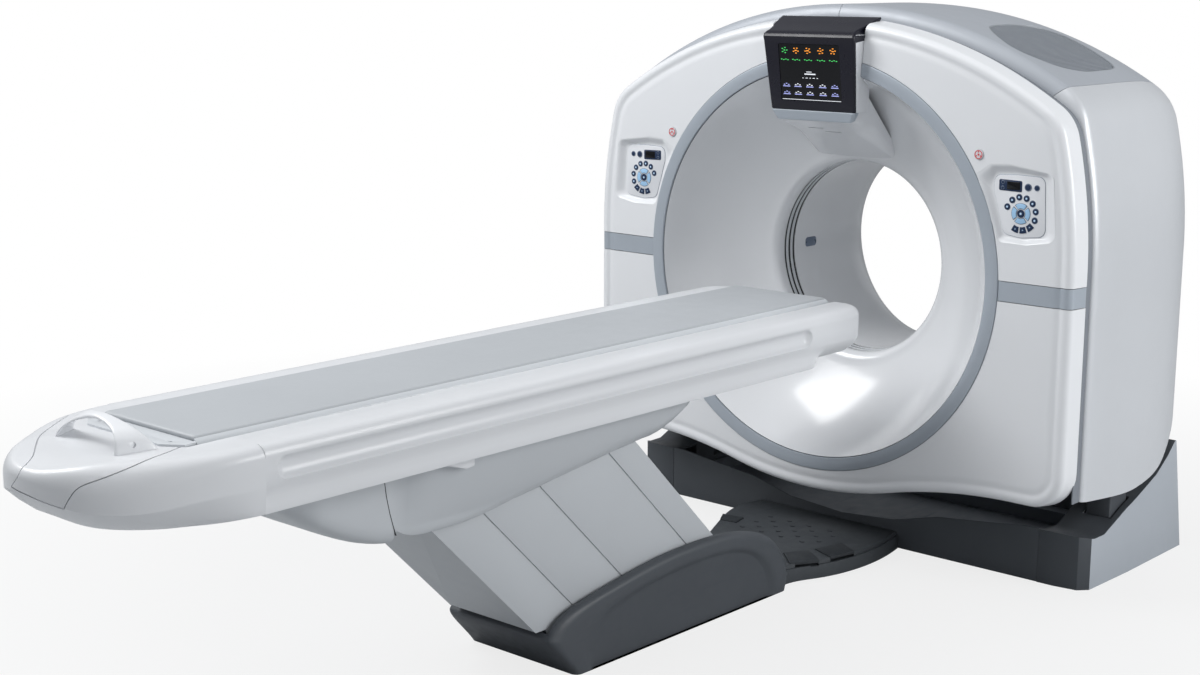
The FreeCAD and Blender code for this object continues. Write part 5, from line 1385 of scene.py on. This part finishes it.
@dataclass
class TableBase:
    """Floor skirt, overlapping leg covers and saddle of the table."""

    skirt_line: Line = (
        (-1.985, 0.018), (-2.07, 0.115), (-2.066, 0.146), (-2.03, 0.182), (-1.95, 0.211), (-1.78, 0.241),
        (-1.56, 0.269), (-1.325, 0.274), (-1.164, 0.257), (-1.022, 0.211), (-0.94, 0.134), (-0.906, 0.058))
    panel_line: Line = (
        (-1.88, 0.001), (-1.872, 0.06), (-1.835, 0.115), (-1.76, 0.158), (-1.6, 0.192), (-1.4, 0.205),
        (-1.22, 0.196), (-1.11, 0.162), (-1.05, 0.105), (-1.03, 0.05), (-1.028, 0.001))
    panel_bends: Line = ((0.55, 0.2272), (0.66, 0.2262), (0.78, 0.222), (0.9, 0.2165), (1.0, 0.2145))
    well: Line = ((-1.962, -0.01), (-2.0645, 0.122), (-2.0645, 0.4), (-0.935, 0.4), (-0.935, -0.01))
    keel: Line = (
        (-2.45, 0.548), (-2.4, 0.5495), (-2.331, 0.554), (-2.2, 0.574), (-2.065, 0.596), (-1.93, 0.6185),
        (-1.795, 0.641))
    bilge: Line = ((0.0, 0.0), (0.5, 0.0), (0.74, 0.02), (0.87, 0.09), (0.95, 0.22), (0.99, 0.42), (1.0, 0.62))
    skirt_half: float = 0.203
    skirt_round: float = 0.024
    well_half: float = 0.197
    saddle_top: float = 0.798
    flare_z: Point = (0.6, 0.183)
    flare_half: Point = (0.211, 0.073)
    nose_half: float = 0.198
    bracket: Line = ((-2.6, 0.79), (-2.44, 0.79), (-2.44, 0.752), (-2.47, 0.748))

    def build(self) -> None:
        """Builds the skirt, the leg covers, the saddle, its seams and its brackets."""
        self.skirt()
        for n in (1, 2, 3, 4):
            leg = Piece(f"leg_cover_{n}_plate").copy_of(f"leg_cover_{n}").softened(0.0008, 2)
            leg.done(f"leg_{n}", LEG_GREY, [f"leg_cover_{n}"], smooth=30)
        self.saddle()
        line = []
        for z in (0.795, 0.75, 0.7, 0.65, 0.62, 0.6, 0.585):
            y = -2.655 - (0.03 - 0.05 * (1 - (z - 0.56) / 0.24) ** 2)
            line.append((self.saddle_half(y, z) + 0.0006, y, z))
        seam = Piece("saddle_seam").skin([Plane.PLAN.loop([(x, y), (x, y + 0.0022), (x - 0.004, y + 0.0022),
                                                           (x - 0.004, y)], z) for x, y, z in line], caps=True)
        seam.mirrored().done(TABLE, SEAM_DARK)
        bracket = Piece("saddle_bracket").prism(Plane.SIDE, self.bracket, 0.19, 0.29)
        bracket.softened(0.003).mirrored().done(TABLE, TABLE_GREY, smooth=40)

    def skirt(self) -> None:
        """Builds the dark floor skirt with a rounded rim around a sunk panel on each side."""
        top = smooth_line(self.skirt_line, 7)
        outline = [(-1.972, 0.001)] + top + [(-0.923, 0.001)]
        line = smooth_line(self.panel_line, len(top) // (len(self.panel_line) - 1) + 1)
        share = (len(line) - 1) / (len(outline) - 1)
        panel = [line[round(index * share)] for index in range(len(outline))]
        stations = [(0.24 * pull, self.skirt_half + self.skirt_round * out) for pull, out in quarter(6)]
        loops = []
        for pull, x in (*stations, *self.panel_bends):
            drawn = [blend(a, b, pull) for a, b in zip(outline, panel)]
            loops.append(Plane.SIDE.loop([(y, max(0.001, z)) for y, z in drawn], x))
        skirt = Piece("table_skirt").skin([across(loop) for loop in loops[::-1]] + loops, caps=True)
        skirt.joined(Piece("well").prism(Plane.SIDE, self.well, -self.well_half, self.well_half))
        skirt.done(FLOOR, BASE_DARK, ["table_base_skirt"], smooth=40)

    def saddle_half(self, y: float, z: float) -> float:
        """Half width of the saddle.

        Args:
            y: Place along the table.
            z: Height.

        Returns:
            The half width there.
        """
        wide = self.flare_half[0] + self.flare_half[1] * limited((z - self.flare_z[0]) / self.flare_z[1])**0.9
        grown = math.sqrt(1 - (1 - limited((y + 2.62) / 0.3)) ** 2)
        nose = self.nose_half * (min(1.0, ((y + 3.075) / 0.16) ** 0.5) if y < -2.915 else 1.0)
        return nose + (wide - nose) * grown

    def saddle(self) -> None:
        """Builds the saddle: a narrow rounded nose that widens into flared sides."""
        profile = arcs((-3.046, 0.77), ((-2.93, 0.672), (-2.76, 0.582), 10), ((-2.64, 0.551), (-2.509, 0.547), 10))
        profile += [*self.keel, *arcs((-1.671, 0.657), ((-1.575, 0.683), (-1.5, 0.785), 8))]
        loops = []
        for y, low in profile:
            deep = min(0.1, (self.saddle_top - low) * 0.8)
            start = low + deep * 0.62
            places = [(low + deep * up, across) for across, up in smooth_line(self.bilge, 3)]
            places += [(start + (self.saddle_top - start) * step / 8, 1.0) for step in range(1, 9)]
            half = [Vector((self.saddle_half(y, z) * across, y, z)) for z, across in places]
            loops.append(across(half[:0:-1]) + half)
        saddle = Piece("saddle_shell").skin(loops, closed=False).walled(0.01)
        saddle.joined(Piece("leg_room").box((-0.1965, -2.645, 0.3), (0.1965, -1.3, 0.79)))
        saddle.done(TABLE, SADDLE_GREY, ["saddle"], smooth=50)


@dataclass
class TableTop:
    """Long table body with its rounded foot, pull handle, cradle and mat."""

    half: float = 0.335
    top_z: float = 0.955
    foot_y: float = -3.165
    foot_length: float = 0.4445
    head_y: float = -0.66
    groove_y: Point = (-3.131, -0.964)
    groove_z: float = 0.892
    head_round: float = 0.06
    groove_end: float = 0.03
    foot_power: float = 2.05
    channel: tuple[Spot, Spot] = ((-0.208, -3.296, 0.918), (0.208, -3.0, 1.0))
    rim: Line = (
        (0.0, 0.9175), (0.2075, 0.9175), (0.2075, 0.9542), (0.2087, 0.955), (0.294, 0.955), (0.31, 0.9535),
        (0.323, 0.949), (0.3315, 0.9405), (0.335, 0.929), (0.335, 0.9225))
    groove: Line = (
        (0.333, 0.9195), (0.327, 0.915), (0.3205, 0.908), (0.318, 0.899), (0.318, 0.888), (0.3205, 0.8765),
        (0.327, 0.8685), (0.3325, 0.8645), (0.335, 0.862))
    low: Line = (
        (0.3335, 0.857), (0.329, 0.846), (0.3255, 0.834), (0.3245, 0.824), (0.3255, 0.806), (0.3265, 0.788),
        (0.3255, 0.7845), (0.322, 0.784), (0.286, 0.784), (0.286, 0.8), (0.0, 0.8))
    head_low: Line = (
        (0.3335, 0.857), (0.33, 0.848), (0.325, 0.839), (0.318, 0.831), (0.309, 0.823), (0.298, 0.814),
        (0.288, 0.807), (0.278, 0.801), (0.24, 0.8005), (0.23, 0.8002), (0.0, 0.8))

    places: Row = (-3.145, -2.8, -2.2, -1.6, -1.2, -0.9499, -0.935, -0.921, -0.908, -0.895, -0.882, -0.868, -0.8)
    foot_table: tuple[Row, ...] = (
        (0.0, 0.041, 0.9225, 0.858, 0.784, 0.01), (0.1, 0.041, 0.9225, 0.853, 0.783, 0.015),
        (0.25, 0.043, 0.918, 0.853, 0.777, 0.042), (0.4, 0.049, 0.907, 0.85, 0.77, 0.078),
        (0.55, 0.06, 0.888, 0.841, 0.767, 0.1), (0.68, 0.068, 0.868, 0.836, 0.768, 0.11),
        (0.8, 0.062, 0.864, 0.837, 0.77, 0.115), (0.9, 0.042, 0.88, 0.846, 0.772, 0.12),
        (0.97, 0.028, 0.896, 0.862, 0.774, 0.13), (1.0, 0.022, 0.904, 0.872, 0.775, 0.14))
    foot_seams: tuple[Path, ...] = (
        ((0.188, -3.2847, 0.954), (0.218, -3.3785, 0.9527), (0.2177, -3.4502, 0.9408), (0.1946, -3.5072, 0.9225),
         (0.1606, -3.554, 0.9026), (0.1425, -3.57, 0.8768), (0.1281, -3.578, 0.85)),
        ((-0.2771, -3.3053, 0.9534), (-0.2229, -3.3782, 0.9527), (-0.1549, -3.4609, 0.9497),
         (-0.0924, -3.5096, 0.9453), (-0.0302, -3.5581, 0.9369), (-0.0029, -3.6066, 0.916),
         (-0.0451, -3.6058, 0.8745)),
        ((-0.0451, -3.6058, 0.875), (-0.0049, -3.609, 0.8722), (0.0274, -3.606, 0.8685), (0.0609, -3.601, 0.863),
         (0.095, -3.591, 0.8565), (0.1281, -3.578, 0.85)))
    handle_front: Path = (
        (0.145, -3.449, 0.936), (0.1435, -3.445, 0.96), (0.133, -3.437, 0.985), (0.106, -3.427, 1.006),
        (0.06, -3.419, 1.018), (0.015, -3.416, 1.021), (-0.03, -3.417, 1.014), (-0.08, -3.424, 0.996),
        (-0.114, -3.436, 0.97), (-0.133, -3.444, 0.936))
    handle_back: Path = (
        (0.169, -3.345, 0.936), (0.167, -3.347, 0.958), (0.151, -3.362, 0.982), (0.116, -3.378, 1.006),
        (0.066, -3.389, 1.022), (0.012, -3.393, 1.028), (-0.045, -3.393, 1.022), (-0.098, -3.387, 1.003),
        (-0.142, -3.376, 0.972), (-0.168, -3.366, 0.936))

    def build(self) -> None:
        """Builds the pieces of the table top."""
        self.trough()
        self.foot()
        self.handle()
        cradle = Piece("cradle_board").copy_of("cradle").softened(0.0012, 2, 30)
        cradle.done("cradle_top", CRADLE_LIGHT, ["cradle"], smooth=30)
        self.mat()

    def body_section(self, y: float, inset: float = 0.0) -> list[Vector]:
        """Loop of the table body across the table.

        Args:
            y: Place along the table.
            inset: How far the outer side is drawn in.

        Returns:
            The loop's points.
        """
        share = limited(min(y - self.groove_y[0], self.groove_y[1] - y) / self.groove_end)
        open_by = max(0.05, math.sqrt(1 - (1 - share) ** 2))
        groove = [(self.half + (x - self.half) * min(1.0, share * 1.4), self.groove_z + (z - self.groove_z) * open_by)
                  for x, z in self.groove]
        fade = eased(limited((y + 0.95) / 0.085))
        low = [blend(a, b, fade) for a, b in zip(self.low, self.head_low)]
        corner = max(0.0, (y - self.head_y + self.head_round) / self.head_round)
        pull = inset + self.head_round * (1 - math.sqrt(max(0.0, 1 - corner * corner * 0.98)))
        right = []
        for x, z in (*self.rim, *groove, *low):
            drop = -inset if z > 0.95 else inset * 0.5 if z < 0.83 else 0.0
            right.append(Vector((x - pull * limited((x - 0.23) / 0.06), y, z + drop)))
        return right + across(right[-2:0:-1])

    def trough(self) -> None:
        """Builds the long body with its side grooves and its channel for the cradle."""
        places = [self.foot_y, *self.places, *(self.groove_y[0] + self.groove_end * along for along, _ in quarter(7))]
        places += [self.groove_y[1] - self.groove_end * along for along, _ in quarter(7)]
        places += [self.head_y - self.head_round * (1 - out) for _, out in quarter(9)]
        loops = [self.body_section(y) for y in sorted({round(y, 5) for y in places}) if y < self.head_y - 0.0035]
        loops += [self.body_section(self.head_y - back, inset)
                  for back, inset in ((0.003, 0.0), (0.001, 0.0012), (0.0, 0.0035))]
        Piece("table_trough").skin(loops, caps=True).done(TABLE, TABLE_GREY, ["table_body"], smooth=38)

    def foot_line(self) -> list[Row]:
        """Stations of the foot cover from the table body round to the tip.

        Returns:
            For each station how far along it is, the width of the shoulder, the heights of the
            shoulder's end, the crease and the underside, and how far the underside is drawn in.
        """
        table = smooth_line(self.foot_table, 8)
        line = []
        for _, reach in quarter(34):
            k = next(i for i, row in enumerate(table) if row[0] >= min(reach, 1.0) - 1e-6)
            before, after = table[max(0, k - 1)], table[k]
            share = (reach - before[0]) / max(1e-6, after[0] - before[0])
            line.append((reach, *blend(before[1:], after[1:], share)))
        return line

    def foot_top(self, reach: float) -> float:
        """Height of the foot cover's top surface."""
        return self.top_z - 0.004 * reach - 0.03 * reach**6

    def foot_ring(self, line: list[Row],
                  level: Callable[[Row], tuple[float, float | None]]) -> list[Vector]:
        """Ring round the foot cover, closed across the end of the table body.

        Args:
            line: The foot cover's stations.
            level: Gives a station's inset and height, or no height for the top surface.

        Returns:
            The ring's points.
        """
        right = []
        for row in line:
            inset, z = level(row)
            half = self.half * (1 - row[0] ** self.foot_power) ** (1 / self.foot_power) * (1 - inset / self.half)
            reach = row[0] * (1 - inset / self.foot_length)
            height = self.foot_top(reach) if z is None else z
            right.append(Vector((half, self.foot_y - self.foot_length * reach, height)))
        return right + across(right[-2::-1])

    def foot(self) -> None:
        """Builds the rounded foot cover with its seams and its channel for the cradle."""
        levels: list[Callable[[Row], tuple[float, float | None]]] = []
        levels += [lambda r, d=d: (r[1] + d, None) for d in (0.19, 0.15, 0.11, 0.07, 0.04, 0.015)]
        levels += [lambda r, a=math.pi / 2 * k / 8: (
            r[1] * (1 - math.sin(a)),
            r[2] + (self.foot_top(r[0] * (1 - r[1] / self.foot_length)) - r[2]) * math.cos(a)) for k in range(9)]
        levels += [lambda r, s=s: (0.0, r[2] + (r[3] - r[2]) * s) for s in (0.5, 0.94, 1.0)]
        levels += [lambda r, s=s, drop=drop: (r[5] * s, r[3] + (r[4] - r[3]) * drop)
                   for s, drop in ((0.03, 0.06), (0.25, 0.4), (0.5, 0.7), (0.75, 0.9), (1.0, 0.985), (1.25, 1.0))]
        levels.append(lambda r: (0.24, 0.79))
        line = self.foot_line()
        foot = Piece("foot_nose").skin([self.foot_ring(line, level) for level in levels], caps=True)
        foot.joined(Piece("channel").box(*self.channel))
        for points in self.foot_seams:
            foot.joined(Piece("seam").skin(self.seam_loops(points), caps=True))
        foot.done(TABLE, TABLE_GREY, ["foot_cover"], smooth=35)

    @staticmethod
    def seam_loops(points: Sequence[Spot]) -> list[list[Vector]]:
        """Loops of a narrow deep body along a line on the foot cover.

        Args:
            points: The line's points.

        Returns:
            The loops.
        """
        line = [Vector(p) for p in smooth_line(points, 4)]
        loops = []
        for k, spot in enumerate(line):
            run = (line[min(k + 1, len(line) - 1)] - line[max(k - 1, 0)]).normalized()
            out = (spot - Vector((0.0, -3.3, 0.72))).normalized()
            side = run.cross(out).normalized() * 0.0015
            loops.append([spot + side * u + out * v for u, v in
                          ((-1, -0.006), (-1, 0.004), (1, 0.004), (1, -0.006))])
        return loops

    def handle(self) -> None:
        """Builds the arched pull handle with its flared feet and the hole in one of them."""
        loops = []
        for front, back in zip(smooth_line(self.handle_front, 6), smooth_line(self.handle_back, 6)):
            front, back = Vector(front), Vector(back)
            middle = (front + back) / 2
            out = Vector((middle.x, 0.0, middle.z - 0.925)).normalized()
            loop = []
            for cos, sin in circle((0.0, 0.0), 1.0, 20):
                across = math.copysign(abs(cos) ** 0.6, cos)
                lift = math.copysign(abs(sin) ** 0.7, sin)
                loop.append(middle + (back - front) * 0.5 * across + out * (0.0052 * lift - 0.0052))
            loops.append(loop)
        handle = Piece("bail_handle").skin(loops, caps=True)
        handle.joined(Piece("hole").rod((0.147, -3.402, 0.97), (0.22, -3.402, 0.97), 0.0075, 28))
        handle.done(TABLE, COVER_WHITE, ["pull_handle"], smooth=50)

    def mat(self) -> None:
        """Builds the thin soft mat on the cradle."""
        low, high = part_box("mat")
        loops = []
        for inset, z in ((0.0012, low.z), (0.0, low.z + 0.003), (0.0, high.z - 0.006), (0.0012, high.z - 0.003),
                         (0.004, high.z - 0.0008), (0.012, high.z)):
            corners = rect(low.x + inset, low.y + inset, high.x - inset, high.y - inset)
            loops.append(Plane.PLAN.loop(rounded(corners, 0.006, 4), z))
        mat = Piece("table_mat").skin(loops, caps=True).done("cradle_top", MAT_GREY, ["mat"], smooth=40)


# ------------------------------------------------------------------ stage


@dataclass
class Stage:
    """Pale floor, plain soft light and the camera."""

    camera_at: Spot = (3.682, -5.7078, 2.0342)
    azimuth: float = 42.0101
    elevation: float = 11.2176
    roll: float = -0.0954
    lens: float = 54.48
    lamps: tuple[tuple[str, Spot, Spot, float, float], ...] = (
        ("key_lamp", (-3.6, -4.2, 5.4), (0.0, -0.8, 1.0), 3.4, 315.0),
        ("top_lamp", (-0.4, -3.0, 6.0), (0.0, -2.2, 0.0), 5.0, 90.0),
        ("fill_lamp", (5.2, -4.6, 1.6), (0.2, -1.4, 0.5), 4.0, 34.0),
        ("side_lamp", (6.0, 0.9, 3.0), (0.5, -0.1, 0.9), 3.4, 240.0))

    def build(self) -> None:
        """Builds the stage."""
        self.floor()
        self.world()
        for lamp in self.lamps:
            self.lamp(*lamp)
        self.camera()

    @staticmethod
    def camera_ray_mix(tree: Tree, plain: Value, shown: Value, share: Value) -> bpy.types.NodeSocket:
        """Shows one shader to the camera and through glass, and another to all else.

        Args:
            tree: The material's tree.
            plain: The shader for all else.
            shown: The shader for the camera.
            share: How much of the camera's view it takes.

        Returns:
            The mixed shader.
        """
        path = tree.add("LightPath").outputs
        seen = tree.sums("MAXIMUM", path["Is Camera Ray"], path["Is Transmission Ray"])
        return tree.add("MixShader", {0: tree.sums("MULTIPLY", seen, share), 1: plain, 2: shown}).outputs[0]

    def floor(self) -> None:
        """Builds the floor."""
        mesh = bpy.data.meshes.new("floor")
        bm = bmesh.new()
        bmesh.ops.create_grid(bm, x_segments=1, y_segments=1, size=30.0)
        bmesh.ops.translate(bm, verts=bm.verts[:], vec=(0, 0, -0.0005))
        bm.to_mesh(mesh)
        bm.free()
        material = bpy.data.materials.new("floor_paint")
        material.use_nodes = True
        tree, nodes = Tree(material.node_tree), material.node_tree.nodes
        surface = tree.feed(nodes["Principled BSDF"], {"Base Color": (0.44, 0.45, 0.46, 1), "Roughness": 0.8})
        shine = tree.add("Emission", {"Color": (1, 1, 1, 1)})
        away = tree.add("VectorMath", {0: tree.add("TexCoord").outputs["Object"], 1: (0.0, -1.2, 0.0)},
                        operation="DISTANCE")
        share = tree.add("MapRange", {"Value": away.outputs["Value"], "From Min": 1.5, "From Max": 4.5,
                                      "To Min": 0.8, "To Max": 1.0})
        shown = self.camera_ray_mix(tree, surface.outputs[0], shine.outputs[0], share.outputs["Result"])
        tree.feed(nodes["Material Output"], {"Surface": shown})
        mesh.materials.append(material)
        floor = bpy.data.objects.new("floor", mesh)
        bpy.context.scene.collection.objects.link(floor)
        floor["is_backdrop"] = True

    def world(self) -> None:
        """Sets the plain surrounding light."""
        world = bpy.data.worlds.new("surround")
        bpy.context.scene.world = world
        world.use_nodes = True
        tree, nodes = Tree(world.node_tree), world.node_tree.nodes
        soft = tree.feed(nodes["Background"], {"Color": (0.93, 0.96, 1.0, 1), "Strength": 0.37})
        white = tree.add("Background", {"Color": (1, 1, 1, 1)})
        tree.feed(nodes["World Output"], {
            "Surface": self.camera_ray_mix(tree, soft.outputs[0], white.outputs[0], 1.0)})

    @staticmethod
    def lamp(name: str, at: Sequence[float], aim: Sequence[float], size: float, power: float) -> None:
        """Adds a square soft lamp.

        Args:
            name: The lamp's name.
            at: Where it hangs.
            aim: The point that it faces.
            size: Length of its sides.
            power: Its power in watts.
        """
        light = bpy.data.lights.new(name, "AREA")
        light.size = size
        light.energy = power
        lamp = bpy.data.objects.new(name, light)
        lamp.location = at
        lamp.rotation_euler = (Vector(aim) - Vector(at)).to_track_quat("-Z", "Y").to_euler()
        bpy.context.scene.collection.objects.link(lamp)

    def camera(self) -> None:
        """Places the camera at the photograph's view."""
        data = bpy.data.cameras.new("camera")
        data.lens = self.lens
        data.sensor_width = 36.0
        data.clip_end = 100.0
        az, el = math.radians(self.azimuth), math.radians(self.elevation)
        forward = Vector((-math.sin(az) * math.cos(el), math.cos(az) * math.cos(el), -math.sin(el)))
        turn = forward.to_track_quat("-Z", "Y").to_matrix() @ Matrix.Rotation(math.radians(-self.roll), 3, "Z")
        camera = bpy.data.objects.new("camera", data)
        camera.matrix_world = Matrix.Translation(self.camera_at) @ turn.to_4x4()
        bpy.context.scene.collection.objects.link(camera)
        bpy.context.scene.camera = camera


def dress_nodes() -> None:
    """Gives the nodes that stay their finishes."""
    for node, finish in NODE_FINISHES.items():
        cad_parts[node].material_slots[0].material = finish.material()
        log.info("%s keeps its shape and gets %s", node, finish.name)


def main() -> None:
    """Builds the stage and every sub-assembly."""
    logging.basicConfig(level=logging.INFO, format="%(name)s %(message)s")
    bpy.context.scene.view_settings.view_transform = "Standard"
    Stage().build()
    dress_nodes()
    pods = ControlPods()
    FrontCovers().build([DISPLAY.clearance(0.0005), *pods.cutters()])
    DISPLAY.build()
    pods.build()
    BodyCovers().build()
    GantryBase().build()
    PedalTray().build()
    TableBase().build()
    TableTop().build()
    boxes = [[list(corner) for corner in box] for box in (FRAME_BOUNDS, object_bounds())]


if __name__ == "__main__":
    main()
